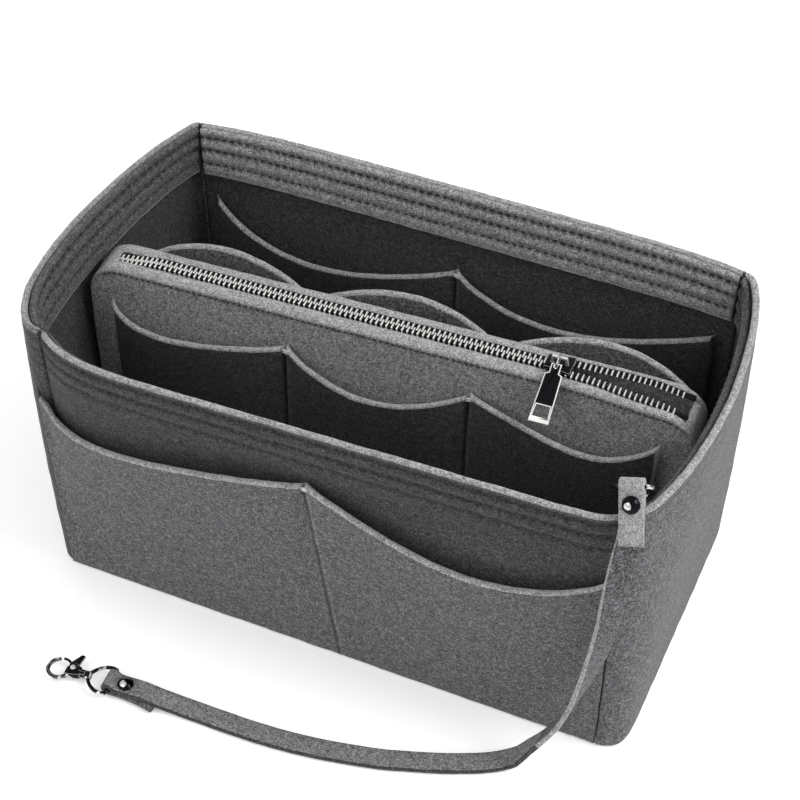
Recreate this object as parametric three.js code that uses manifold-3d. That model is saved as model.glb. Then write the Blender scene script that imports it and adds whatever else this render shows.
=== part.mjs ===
// Purse organizer insert: an open felt tub with pockets, a zip pouch standing in it and a key strap.
// Lengths are in millimetres and +Z is up. X runs along the tub, and -Y is its front.
import * as THREE from "three";
import { mergeVertices } from "three/addons/utils/BufferGeometryUtils.js";
import Module from "manifold-3d";

const wasm = await Module();
wasm.setup();

// Felt tub
const halfDepth = 85.5; // to the corner seams, front and back
const backRimHeight = 171.6;
const frontRimHeight = 166;
const feltThickness = 3.5;
const seamGap = 0.3; // pieces sewn edge to edge
const layerGap = 0.5; // pieces laid face on face
const baseHalfLength = 158;
const rimHalfLength = 169; // the side walls bow outwards at the rim
const leftRimBow = 9; // and the left one bows out by this much more
const frontCornerBase = 14; // from the front corner seams out to the side walls' middle
const frontCornerRim = 23;
const backCornerBase = 12;
const backCornerRim = 20;
const frontRecess = 4; // the front wall's foot is set back, behind the outer pockets
const bulgeLeft = 15; // how far the front rim bows out, near its two ends
const bulgeRight = 6;
const bulgePower = 8;
const baseCornerPower = 16; // a high power makes a square corner
const rimCornerPower = 1.7;
// The left rim's plan: shares of the half depth from front to back, and of the reach out to its bow
const leftRimShares = [
  [-1, 0.26],
  [-0.93, 0.44],
  [-0.8, 0.63],
  [-0.65, 0.76],
  [-0.48, 0.81],
  [-0.3, 0.84],
  [-0.1, 0.83],
  [0.1, 0.78],
  [0.3, 0.7],
  [0.5, 0.6],
  [0.7, 0.46],
  [0.85, 0.3],
  [1, 0.14],
];
const leftRimEndPower = 40; // a high power turns the rim sharply into the corner seams
const bandHeight = 29;
const bandEndFront = 0.9; // the front and back bands stop short of the seams
const bandEndBack = 2.4;
const wallColumns = 20;
const wallRows = 5;

// Outer and inner pocket rows: seams along the panel, and for each pocket its scallop and its gape
const outerPockets = {
  rim: frontRimHeight,
  seamShares: [-1, 0, 1],
  seamDepths: [40, 34.5, 39], // from the rim down to the tops of the seams
  drops: [12, 18.5],
  skews: [0.45, 1.2],
  gapes: [7, 8],
  columns: 10,
  rows: 5,
};
const backPockets = {
  rim: backRimHeight,
  seamShares: [-1, 0, 1],
  seamDepths: [40.6, 47.6, 40.6],
  drops: [22, 17],
  skews: [0.72, 0.8],
  gapes: [8, 8],
  columns: 10,
  rows: 4,
};
const backPocketMargin = 7; // from the back corner seams at the base

// Zip pouch, in its own frame: x along it, -y its front
const pouchX = 0.8;
const pouchY = 1.5;
const pouchTurn = THREE.MathUtils.degToRad(2.97);
const pouchTopDrop = 14.5; // below the front rim
const pouchEndGap = 15; // from the rim's bow
const pouchLeftEndGap = 15.5;
const pouchBaseEndGap = 9;
const pouchLeftBow = 13.5; // the left end stays long down to its lower half
const pouchLeftTaperPower = 2.5;
const pouchTop = frontRimHeight - pouchTopDrop;
const pouchHalfWidth = 10.75; // at the closed zip
const pouchBaseHalfWidth = 20;
const frontFlare = 3.9; // the front spreads by this much where the zip is open
const frontFlareRun = 58;
const rearDraw = 0.8; // and the rear draws in by this much towards its end
const rearDrawRun = 44;
const pouchCornerRadius = 12;
const gussetDrop = 7; // the end gussets stop this far below the panels
const pouchColumns = 20;
const pouchRows = 3;
const pouchFrontPockets = {
  rim: pouchTop,
  seamShares: [-0.9116, -0.3241, 0.28, 0.9],
  seamDepths: [15.5, 17.5, 17.5, 15.5],
  drops: [11.5, 14.5, 13],
  skews: [0.5, 0.9, 1.6],
  gapes: [7.5, 8, 8],
  columns: 8,
  rows: 4,
};
const pouchRearPockets = {
  rim: pouchTop,
  seamShares: [-0.9003, -0.327, 0.3, 0.96],
  seamDepths: [15.5, 14.5, 14.5, 15.5],
  drops: [-10, -9, -10],
  skews: [0.75, 1, 1.15],
  gapes: [16, 16, 17],
  columns: 8,
  rows: 4,
};

// Zip
const toothPitch = 2.69;
const toothWidth = 1.15;
const toothTipWidth = 0.8;
const toothHeight = 2.4;
const toothReach = 0.8; // past the middle of the closed chain
const chainHalfWidth = 3.3;
const zipEndMargin = 9; // from the end of the pouch to the first tooth
const tapeThickness = 0.8;
const tapeSteps = 36;
const zipDrop = 3.5; // the zip dips by this much at its ends
const zipDropRun = 20;
const sliderX = 82; // how far the zip is closed, from the middle of the pouch
const firstPart = 2.5; // the rows part inside the slider, then open up to the felt
const openRun = 34;
const openTapeMargin = 0.5; // of tape between the open rows and the felt

// Slider, link and pull
const sliderLength = 13;
const sliderNoseHalfWidth = 4.4;
const sliderTailHalfWidth = 6;
const sliderShoulderShare = 0.15;
const plateThickness = 1.2;
const sliderClearance = 0.35;
const flangeThickness = 0.8;
const wedgeHalfWidth = 0.6;
const wedgeLength = 1.8;
const wedgeMargin = 0.6; // from the wedge to the slider's tail
const bridgeHalfLength = 4.6;
const bridgeWidth = 1.5;
const bridgeThickness = 1.2;
const bridgeGap = 2.75; // clear height under the bridge
const bridgeLeg = 1.6;
const linkWire = 0.9;
const linkHalfLength = 3.7; // to the middle of the wire
const linkHalfWidth = 1.85;
const linkSlack = 2.1; // from the bar to the middle of the link
const linkFall = THREE.MathUtils.degToRad(8); // below the level, towards the front
const pullFall = THREE.MathUtils.degToRad(27);
const pullLength = 29;
const pullTopWidth = 9;
const pullFootWidth = 11.4;
const pullThickness = 1.2;
const pullNeckWidth = 5.2;
const pullNeckLength = 4.4;
const pullEyeRadius = 0.9;
const pullEyeMargin = 0.4; // of metal above the eye
const pullWindowShare = 0.3; // of the length, from the foot
const pullFrame = 1.3; // bar round the window
const pullFootBar = 2.6;

// Key strap: it hangs from the front right corner, half twisted, and lies along the floor.
// Each row of its route has shares of the tub's half length, half depth and front height, and then,
// in degrees, how far the strap's width has turned from +X towards +Y and how far it rises.
const strapWidth = 11.2;
const strapThickness = 2.4;
const strapFloor = 1.5; // from the floor to the middle of the lying strap
const strapSpacing = 6; // about one step along the route
const tabLength = 25.8; // the folded ends
const foldRadius = 2.7; // from the middle of the bar to the middle of the strap
const layerSpacing = 2.75; // between the middles of the two sewn layers
const rivetDistance = 7.7; // from the bar
const rivetRadius = 4.1;
const rivetShaft = 1.5;
const rivetDome = 1.3;
const rivetRim = 0.5;
const foldSteps = 6;
const nearBarOut = 0.831; // from the front right corner seam, at the rim or at the anchor tab's foot
const nearBarIn = 5.5;
const nearBarRise = 14;
const nearTabAlong = new THREE.Vector3(0.25, -0.574, -0.77).normalize();
const nearTabAcross = new THREE.Vector3(0.96, 0.21, 0.19);
const nearClaspAlong = new THREE.Vector3(0, 0.6, -0.8);
const nearHookTurn = THREE.MathUtils.degToRad(135); // about its swivel
const farBarShares = [-0.6041, -1.752]; // of the tub's half length and half depth
const farBarRise = 3.4; // above the lying strap
const farTabAlong = new THREE.Vector3(1, 0.06, 0).normalize();
const farTabAcross = new THREE.Vector3(-0.06, 1, 0).normalize();
const farClaspAlong = new THREE.Vector3(-1, -0.02, -0.05);
const farTailSlant = 3; // the folded end lies across the strap by this much
const farMainDrop = 1.6; // the strap comes down from the far fold onto the floor
const strapRouteShares = [
  [1.0301, -1.0363, 0.9905, 14, 8],
  [1.034, -1.0842, 0.9576, 15, 6],
  [1.0317, -1.1287, 0.9135, 17, 2],
  [1.0252, -1.1649, 0.8233, 21, -4],
  [1.0209, -1.1906, 0.7401, 33, -5],
  [1.0163, -1.2047, 0.6761, 40, -6],
  [1.0066, -1.2152, 0.6072, 46, -7],
  [0.9938, -1.2199, 0.5313, 52, -7],
  [0.9788, -1.2211, 0.4681, 63, -6],
  [0.9616, -1.2234, 0.3964, 72, -5],
  [0.9438, -1.2281, 0.3331, 82, -6],
  [0.9233, -1.2398, 0.2742, 87, -7],
  [0.9, -1.2538, 0.217, 88, -8],
  [0.8479, -1.2749, 0.1307, 90, -4],
  [0.8164, -1.2819, 0.0851, 96, -2],
  [0.7925, -1.2877, 0.0486, 103, 0],
  [0.7712, -1.2982, 0.0225, 108, 2],
  [0.7438, -1.3123, 0.0055, 115, -1],
  [0.7123, -1.345, 0, 120, 0],
  [0.6692, -1.3883, 0, 118, 0],
  [0.624, -1.4257, 0, 114, 0],
  [0.5486, -1.4819, 0, 111, 0],
  [0.4548, -1.5392, 0, 109, 0],
  [0.3603, -1.593, 0, 106, 0],
  [0.261, -1.6327, 0, 102, 0],
  [0.1603, -1.6678, 0, 100, 0],
  [0.0568, -1.6936, 0, 97, 0],
  [-0.0507, -1.7099, 0, 94, 0],
  [-0.1616, -1.717, 0, 91, 0],
  [-0.2877, -1.7193, 0, 90, 0],
];

// Swivel clasps, in their own frame: x away from the strap, z square to the clasp
const claspWire = 2;
const claspLoopHalfWidth = 8.1;
const claspLoopLength = 13.2;
const knuckleRadius = 2.3;
const knuckleLength = 2.4;
const swivelPinRadius = 0.9;
const swivelClearance = 0.3;
const swivelPinLength = 2.6;
const hookNeckRadius = 2.2;
const hookNeckLength = 3.6;
const hookThickness = 3.4;
const hookRingRadius = 6;
const hookRingX = 29.2;
const hookWire = 2.2;
const hookFirstAngle = THREE.MathUtils.degToRad(152);
const hookLastAngle = THREE.MathUtils.degToRad(-72);
const gateFirstAngle = THREE.MathUtils.degToRad(-86);
const gateLastAngle = THREE.MathUtils.degToRad(-148);
const pivotX = 21.8;
const pivotY = -0.8;
const pivotBossRadius = 3.3;
const pivotPinRadius = 0.8;
const pivotPinHead = 1.5;
const pivotHeadThickness = 0.5;
const triggerThickness = 1.4;
const triggerRootRadius = 2.1;
const triggerLever = 9.5;
const triggerLeverWidth = 1.9;
const slotThickness = 2;

// Ring and felt tab that the near clasp is hooked to, inside the front wall
const anchorRingRadius = 5;
const anchorWire = 1.8;
const anchorAngle = THREE.MathUtils.degToRad(-40); // round the hook's ring
const anchorTabWidth = 5;
const anchorTabThickness = 1.6;
const anchorTabSlack = 1; // round the ring's wire
const anchorTabLength = 6.5; // on the band
const anchorTabDrop = 27.5; // from the rim down to the tab's foot
const anchorTabMargin = 5.5; // from the corner seam

const cutOverrun = 1;
const roundSides = 8;

const mix = THREE.MathUtils.lerp;
const smooth = THREE.MathUtils.smoothstep;

function feltMaterial(color) {
  return new THREE.MeshStandardMaterial({ color, roughness: 0.95, metalness: 0 });
}
const outerFelt = feltMaterial(0x626264);
const innerFelt = feltMaterial(0x4a4a4c);
const zipMetal = new THREE.MeshStandardMaterial({ color: 0xc9c9c6, roughness: 0.3, metalness: 1 });
const gunmetal = new THREE.MeshStandardMaterial({ color: 0x3a3a3e, roughness: 0.2, metalness: 1 });

// Gives a geometry only positions and shared vertices, with its faces pointing out.
function closedGeometry(geometry) {
  const bare = geometry.index ? geometry.toNonIndexed() : geometry.clone();
  bare.deleteAttribute("normal");
  bare.deleteAttribute("uv");
  const merged = mergeVertices(bare, 1e-4);
  const position = merged.attributes.position;
  const index = merged.index.array;
  const corner = [new THREE.Vector3(), new THREE.Vector3(), new THREE.Vector3()];
  const kept = [];
  let volume = 0;
  for (let i = 0; i < index.length; i += 3) {
    const [a, b, c] = [index[i], index[i + 1], index[i + 2]];
    if (a === b || b === c || c === a) continue;
    corner.forEach((point, k) => point.fromBufferAttribute(position, index[i + k]));
    volume += corner[0].dot(corner[1].cross(corner[2]));
    kept.push(a, b, c);
  }
  if (volume < 0)
    for (let i = 0; i < kept.length; i += 3) [kept[i + 1], kept[i + 2]] = [kept[i + 2], kept[i + 1]];
  merged.setIndex(kept);
  return merged;
}

function toSolid(geometry) {
  const closed = closedGeometry(geometry);
  return new wasm.Manifold(
    new wasm.Mesh({
      numProp: 3,
      vertProperties: new Float32Array(closed.attributes.position.array),
      triVerts: new Uint32Array(closed.index.array),
    }),
  );
}

function fromSolid(solid) {
  const mesh = solid.getMesh();
  const positions = new Float32Array(mesh.numVert * 3);
  for (let i = 0; i < mesh.numVert; i++)
    positions.set(mesh.vertProperties.subarray(i * mesh.numProp, i * mesh.numProp + 3), i * 3);
  const geometry = new THREE.BufferGeometry();
  geometry.setAttribute("position", new THREE.BufferAttribute(positions, 3));
  geometry.setIndex(new THREE.BufferAttribute(new Uint32Array(mesh.triVerts), 1));
  return geometry;
}

function joined(geometries) {
  return fromSolid(wasm.Manifold.union(geometries.map(toSolid)));
}

function cut(geometry, tools) {
  return fromSolid(tools.map(toSolid).reduce((rest, tool) => rest.subtract(tool), toSolid(geometry)));
}

// A sheet between two faces, each a function of the shares along and up the sheet.
function sheetGeometry(alongShares, rows, outer, inner) {
  const upShares = Array.from({ length: rows + 1 }, (_, row) => row / rows);
  const positions = [];
  for (const face of [outer, inner])
    for (const along of alongShares)
      for (const up of upShares) positions.push(...face(along, up).toArray());
  const perFace = alongShares.length * upShares.length;
  const at = (face, column, row) => face * perFace + column * upShares.length + row;
  const index = [];
  const quad = (a, b, c, d) => index.push(a, b, c, a, c, d);
  const lastColumn = alongShares.length - 1;
  for (let column = 0; column < lastColumn; column++) {
    for (let row = 0; row < rows; row++) {
      quad(at(0, column, row), at(0, column + 1, row), at(0, column + 1, row + 1), at(0, column, row + 1));
      quad(at(1, column, row), at(1, column, row + 1), at(1, column + 1, row + 1), at(1, column + 1, row));
    }
    quad(at(0, column, rows), at(0, column + 1, rows), at(1, column + 1, rows), at(1, column, rows));
    quad(at(0, column, 0), at(1, column, 0), at(1, column + 1, 0), at(0, column + 1, 0));
  }
  for (let row = 0; row < rows; row++) {
    quad(at(0, 0, row), at(0, 0, row + 1), at(1, 0, row + 1), at(1, 0, row));
    const end = (face, level) => at(face, lastColumn, level);
    quad(end(0, row), end(1, row), end(1, row + 1), end(0, row + 1));
  }
  const geometry = new THREE.BufferGeometry();
  geometry.setAttribute("position", new THREE.Float32BufferAttribute(positions, 3));
  geometry.setIndex(index);
  return closedGeometry(geometry);
}

// A tube through rings of points: it runs round into itself, or has a face at each end.
function loftGeometry(rings, endless = false) {
  const sides = rings[0].length;
  const positions = rings.flatMap((ring) => ring.flatMap((point) => point.toArray()));
  const index = [];
  for (let step = 0; step < (endless ? rings.length : rings.length - 1); step++)
    for (let side = 0; side < sides; side++) {
      const next = (side + 1) % sides;
      const following = ((step + 1) % rings.length) * sides;
      const [a, b, c, d] = [step * sides + side, step * sides + next, following + next, following + side];
      index.push(a, b, c, a, c, d);
    }
  const last = (rings.length - 1) * sides;
  for (let side = 1; !endless && side + 1 < sides; side++)
    index.push(0, side + 1, side, last, last + side, last + side + 1);
  const geometry = new THREE.BufferGeometry();
  geometry.setAttribute("position", new THREE.Float32BufferAttribute(positions, 3));
  geometry.setIndex(index);
  return closedGeometry(geometry);
}

function wireRing(middle, out, side, radius) {
  return Array.from({ length: roundSides - 2 }, (_, k) => {
    const turn = (2 * Math.PI * k) / (roundSides - 2);
    const point = middle.clone().addScaledVector(out, radius * Math.cos(turn));
    return point.addScaledVector(side, radius * Math.sin(turn));
  });
}

// Shares from -1 to 1, closer together near both ends.
function endShares(count) {
  return Array.from({ length: count + 1 }, (_, k) => Math.sin((k / count - 0.5) * Math.PI));
}

// A flat strip through stations, each a point of its middle line and the direction of its width.
function stripGeometry(stations, width, thickness) {
  const rings = stations.map(([middle, across], i) => {
    const before = stations[Math.max(i - 1, 0)][0];
    const after = stations[Math.min(i + 1, stations.length - 1)][0];
    const along = after.clone().sub(before).normalize();
    const wide = across.clone().addScaledVector(along, -across.dot(along)).normalize();
    const thick = new THREE.Vector3().crossVectors(along, wide);
    const corner = (w, t) =>
      middle.clone().addScaledVector(wide, (w * width) / 2).addScaledVector(thick, (t * thickness) / 2);
    return [corner(-1, -1), corner(1, -1), corner(1, 1), corner(-1, 1)];
  });
  return loftGeometry(rings);
}

function flatShape(points) {
  return new THREE.Shape(points.map(([x, y]) => new THREE.Vector2(x, y)));
}

function slab(shape, thickness, middle = 0) {
  const geometry = new THREE.ExtrudeGeometry(shape, {
    depth: thickness,
    bevelEnabled: false,
    curveSegments: roundSides / 2,
  });
  return geometry.translate(0, 0, middle - thickness / 2);
}

function boxBetween(low, high) {
  const size = high.clone().sub(low);
  const middle = low.clone().add(high).multiplyScalar(0.5);
  return new THREE.BoxGeometry(size.x, size.y, size.z).translate(middle.x, middle.y, middle.z);
}

// A round bar of one radius along z.
function roundBar(radius, length, sides = roundSides) {
  return new THREE.CylinderGeometry(radius, radius, length, sides).rotateX(Math.PI / 2);
}

function addMesh(parent, name, geometry, material) {
  const mesh = new THREE.Mesh(geometry, material);
  mesh.name = name;
  parent.add(mesh);
  return mesh;
}

const organizer = new THREE.Group();

const frontSeamRim = rimHalfLength - frontCornerRim;
const backSeamBase = baseHalfLength - backCornerBase;

// The tub's plan at a height share: 0 is the base and 1 is the rim.
function seamX(height, back) {
  const base = back ? backSeamBase : baseHalfLength - frontCornerBase;
  return mix(base, back ? rimHalfLength - backCornerRim : frontSeamRim, height);
}

function frontPoint(across, z, inset, endGap = seamGap) {
  const height = z / frontRimHeight;
  const bulge = mix(bulgeLeft, bulgeRight, (across + 1) / 2) * (1 - Math.abs(across) ** bulgePower);
  const out = halfDepth - frontRecess * (1 - height) + height * bulge;
  return new THREE.Vector3(across * (seamX(height, false) - endGap), inset - out, z);
}

function backPoint(across, z, inset, halfLength = 0) {
  const half = halfLength || seamX(z / backRimHeight, true) - seamGap;
  return new THREE.Vector3(across * half, halfDepth - inset, z);
}

function leftRimAt(deep) {
  let k = 1;
  while (k < leftRimShares.length - 1 && deep > leftRimShares[k][0]) k++;
  const [low, high] = [leftRimShares[k - 1], leftRimShares[k]];
  return mix(low[1], high[1], (deep - low[0]) / (high[0] - low[0]));
}

function sidePlan(hand, share, height) {
  const deep = Math.sin((share * Math.PI) / 2);
  const seam = mix(seamX(height, false), seamX(height, true), (deep + 1) / 2);
  const rimBow = rimHalfLength + (hand < 0 ? leftRimBow : 0);
  const reach = mix(baseHalfLength, rimBow, height) - seam;
  if (hand < 0) {
    const square = Math.sqrt(1 - Math.abs(deep) ** baseCornerPower);
    const bowed = leftRimAt(deep) * Math.sqrt(1 - Math.abs(deep) ** leftRimEndPower);
    return new THREE.Vector2(seam + reach * mix(square, bowed, height), halfDepth * deep);
  }
  const power = Math.exp(mix(Math.log(baseCornerPower), Math.log(rimCornerPower), height));
  return new THREE.Vector2(seam + reach * Math.sqrt(1 - Math.abs(deep) ** power), halfDepth * deep);
}

function rimHeightAt(y) {
  return mix(frontRimHeight, backRimHeight, (y / halfDepth + 1) / 2);
}

function sidePoint(hand, share, heightOf, inset) {
  const y = halfDepth * Math.sin((share * Math.PI) / 2);
  const z = heightOf(rimHeightAt(y));
  const height = z / rimHeightAt(y);
  const nudgeShare = 1e-3;
  const before = sidePlan(hand, Math.max(-1, share - nudgeShare), height);
  const after = sidePlan(hand, Math.min(1, share + nudgeShare), height);
  const along = after.sub(before).normalize();
  const plan = sidePlan(hand, share, height);
  return new THREE.Vector3(hand * (plan.x - along.y * inset), plan.y + along.x * inset, z);
}

function tubWalls() {
  const ends = endShares(wallColumns);
  const even = Array.from({ length: wallColumns + 1 }, (_, k) => (2 * k) / wallColumns - 1);
  const frontFace = (inset) => (along, up) => frontPoint(along, up * frontRimHeight, inset);
  const backFace = (inset) => (along, up) => backPoint(along, up * backRimHeight, inset);
  const sideFace = (hand, inset) => (along, up) => sidePoint(hand, along, (rim) => rim * up, inset);
  const wall = (name, shares, rows, face) =>
    addMesh(organizer, name, sheetGeometry(shares, rows, face(0), face(feltThickness)), outerFelt);
  wall("front_wall", ends, wallRows, frontFace);
  wall("back_wall", [-1, 0, 1], 1, backFace);
  wall("right_wall", even, wallRows, (inset) => sideFace(1, inset));
  wall("left_wall", even, wallRows, (inset) => sideFace(-1, inset));

  const bandOuter = feltThickness + layerGap;
  const bandInner = bandOuter + feltThickness;
  const bandShares = even.map((share) => share * (1 - seamGap / halfDepth));
  const bandFront = (inset) => (along, up) =>
    frontPoint(along, frontRimHeight - bandHeight * (1 - up), inset, bandEndFront);
  const bandBack = (inset) => (along, up) => {
    const z = backRimHeight - bandHeight * (1 - up);
    return backPoint(along, z, inset, seamX(z / backRimHeight, true) - bandEndBack);
  };
  const bandSide = (hand, inset) => (along, up) =>
    sidePoint(hand, along, (rim) => rim - bandHeight * (1 - up), inset);
  const band = (name, shares, rows, face) =>
    addMesh(organizer, name, sheetGeometry(shares, rows, face(bandOuter), face(bandInner)), innerFelt);
  band("hem_band_front", ends, 1, bandFront);
  band("hem_band_back", [-1, 0, 1], 1, bandBack);
  band("hem_band_right", bandShares, 1, (inset) => bandSide(1, inset));
  band("hem_band_left", bandShares, 1, (inset) => bandSide(-1, inset));
}

function bottomPanel() {
  const inset = feltThickness + seamGap;
  const front = frontRecess + inset - halfDepth;
  const outline = [];
  for (const hand of [1, -1])
    for (let k = 0; k <= wallColumns; k++) {
      const point = sidePoint(hand, hand * ((2 * k) / wallColumns - 1), () => 0, inset);
      outline.push([point.x, Math.max(point.y, front)]);
    }
  const panel = slab(flatShape(outline), feltThickness, feltThickness / 2);
  addMesh(organizer, "bottom_panel", closedGeometry(panel), innerFelt);
}

// Where a row of pockets has its top edge and how far it gapes, at a share along its panel.
function pocketEdge(row, along) {
  const seams = row.seamShares;
  let pocket = 0;
  while (pocket < row.drops.length - 1 && along > seams[pocket + 1]) pocket++;
  const part = THREE.MathUtils.clamp((along - seams[pocket]) / (seams[pocket + 1] - seams[pocket]), 0, 1);
  const hump = Math.sin(Math.PI * part ** row.skews[pocket]);
  const swell = Math.sin(Math.PI * part);
  const level = row.rim - mix(row.seamDepths[pocket], row.seamDepths[pocket + 1], part);
  const top = level - row.drops[pocket] * Math.max(hump, 0);
  return { top, gape: row.gapes[pocket] * Math.sqrt(Math.max(swell, 0)) };
}

function pocketShares(row) {
  const shares = [row.seamShares[0]];
  for (let pocket = 0; pocket < row.drops.length; pocket++)
    for (let k = 1; k <= row.columns; k++) {
      const part = (1 - Math.cos((Math.PI * k) / row.columns)) / 2;
      shares.push(mix(row.seamShares[pocket], row.seamShares[pocket + 1], part));
    }
  return shares;
}

// A pocket panel laid on a wall: wallAt gives the wall's place at a share, a height and an outset.
function pocketPanel(row, foot, wallAt) {
  const face = (outset) => (along, up) => {
    const edge = pocketEdge(row, along);
    const z = mix(foot, edge.top, up);
    return wallAt(along, z, layerGap + outset + edge.gape * up ** 2);
  };
  return sheetGeometry(pocketShares(row), row.rows, face(feltThickness), face(0));
}

function tubPockets() {
  const front = pocketPanel(outerPockets, 0, (along, z, outset) => frontPoint(along, z, -outset));
  addMesh(organizer, "front_pocket_panel", front, outerFelt);
  const back = pocketPanel(backPockets, feltThickness + seamGap, (along, z, outset) =>
    backPoint(along, z, feltThickness + outset, backSeamBase - backPocketMargin),
  );
  addMesh(organizer, "back_pocket_panel", back, innerFelt);
}

const pouch = new THREE.Group();
pouch.position.set(pouchX, pouchY, 0);
pouch.rotation.z = pouchTurn;
organizer.add(pouch);

const pouchFoot = feltThickness + seamGap;
const pouchHalfLength = rimHalfLength - pouchEndGap;
const pouchLeftHalfLength = rimHalfLength + leftRimBow - pouchLeftEndGap;
const pouchBaseHalfLength = baseHalfLength - pouchBaseEndGap;

function pouchHalfWidthAt(hand, x, z) {
  const up = (z - pouchFoot) / (pouchTop - pouchFoot);
  const spread = frontFlare * smooth(x, sliderX, sliderX + frontFlareRun);
  const draw = rearDraw * smooth(x, pouchHalfLength - rearDrawRun, pouchHalfLength);
  return mix(pouchBaseHalfWidth, pouchHalfWidth + (hand < 0 ? spread : -draw), up);
}

function pouchHalfLengthAt(end, z) {
  const up = THREE.MathUtils.clamp((z - pouchFoot) / (pouchTop - pouchFoot), 0, 1);
  if (end > 0) return mix(pouchBaseHalfLength, pouchHalfLength, up);
  const bow = 1 - (1 - up) ** pouchLeftTaperPower - up;
  return mix(pouchBaseHalfLength, pouchLeftHalfLength, up) + pouchLeftBow * bow;
}

function pouchPoint(hand, along, z, outset) {
  const x = along * pouchHalfLengthAt(Math.sign(along), z);
  return new THREE.Vector3(x, hand * (pouchHalfWidthAt(hand, x, z) + outset), z);
}

function pouchTopAt(along) {
  const half = along < 0 ? pouchLeftHalfLength : pouchHalfLength;
  const past = pouchCornerRadius - half * (1 - Math.abs(along));
  if (past <= 0) return pouchTop;
  return pouchTop - pouchCornerRadius + Math.sqrt(Math.max(pouchCornerRadius ** 2 - past ** 2, 0));
}

function pouchShell() {
  for (const [name, hand] of [
    ["pouch_front_panel", -1],
    ["pouch_rear_panel", 1],
  ]) {
    const face = (outset) => (along, up) =>
      pouchPoint(hand, along, mix(pouchFoot, pouchTopAt(along), up), outset);
    const panel = sheetGeometry(endShares(pouchColumns), pouchRows, face(0), face(-feltThickness));
    addMesh(pouch, name, panel, outerFelt);
  }
  const gussetTop = pouchTop - pouchCornerRadius - gussetDrop / 2;
  const inner = feltThickness + seamGap;
  for (const [name, end] of [
    ["pouch_right_gusset", 1],
    ["pouch_left_gusset", -1],
  ]) {
    const face = (inset) => (along, up) => {
      const z = mix(pouchFoot, gussetTop, up);
      const edge = pouchPoint(along < 0 ? -1 : 1, end, z, -inner);
      return new THREE.Vector3(edge.x - end * inset, along === 0 ? 0 : edge.y, z);
    };
    addMesh(pouch, name, sheetGeometry([-1, 0, 1], 2, face(0), face(feltThickness)), innerFelt);
  }
  const high = pouchPoint(1, 1, pouchFoot + feltThickness, -inner);
  high.x = pouchBaseHalfLength - inner;
  const low = new THREE.Vector3(-high.x, -high.y, pouchFoot);
  addMesh(pouch, "pouch_bottom", boxBetween(low, high), innerFelt);

  const onPanel = (hand) => (along, z, outset) => pouchPoint(hand, along, z, outset);
  const frontRow = pocketPanel(pouchFrontPockets, pouchFoot, onPanel(-1));
  addMesh(pouch, "pouch_front_pocket_panel", frontRow, outerFelt);
  const rearRow = pocketPanel(pouchRearPockets, pouchFoot, onPanel(1));
  addMesh(pouch, "pouch_rear_pocket_panel", rearRow, outerFelt);
}

const chainEnd = pouchHalfLength - zipEndMargin;
const sliderTail = sliderX + sliderLength / 2;
const sliderNose = sliderX - sliderLength / 2;

// How far a row of teeth stands off the closed chain's place.
function rowShift(hand, x) {
  const first = firstPart * smooth(x, sliderX - wedgeLength, sliderTail - wedgeMargin);
  const felt = pouchHalfWidthAt(hand, x, pouchTop) - feltThickness - seamGap;
  const widest = felt - openTapeMargin - chainHalfWidth;
  return mix(first, widest, smooth(x, sliderTail - wedgeLength, sliderTail + openRun));
}

function zipZ(x) {
  return pouchTop - zipDrop * smooth(Math.abs(x), chainEnd - zipDropRun, chainEnd + zipEndMargin);
}

function toothGeometry() {
  const shape = flatShape([
    [-toothWidth / 2, -chainHalfWidth],
    [toothWidth / 2, -chainHalfWidth],
    [toothTipWidth / 2, toothReach],
    [-toothTipWidth / 2, toothReach],
  ]);
  return slab(shape, toothHeight);
}

function zipRow(name, hand) {
  const edge = chainEnd + toothPitch;
  const shares = Array.from({ length: tapeSteps + 1 }, (_, k) => (2 * k) / tapeSteps - 1);
  const face = (side) => (along, up) => {
    const x = along * edge;
    const near = toothReach + rowShift(hand, x);
    const far = pouchHalfWidthAt(hand, x, pouchTop) - feltThickness - 2 * seamGap;
    return new THREE.Vector3(x, hand * mix(near, far, up), zipZ(x) + (side * tapeThickness) / 2);
  };
  const parts = [sheetGeometry(shares, 1, face(1), face(-1))];
  const count = Math.floor((2 * chainEnd) / toothPitch);
  const offset = hand > 0 ? toothPitch / 2 : 0;
  for (let k = 0; k < count; k++) {
    const x = -chainEnd + offset + k * toothPitch;
    const tooth = toothGeometry();
    if (hand > 0) tooth.rotateZ(Math.PI);
    tooth.translate(x, hand * rowShift(hand, x), zipZ(x));
    parts.push(tooth);
  }
  addMesh(pouch, name, joined(parts), zipMetal);
}

const sliderPlateOffset = toothHeight / 2 + sliderClearance + plateThickness / 2;
const plateTop = sliderPlateOffset + plateThickness / 2;
const barUnderside = plateTop + bridgeGap;
const barMiddle = barUnderside + bridgeThickness / 2;

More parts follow.
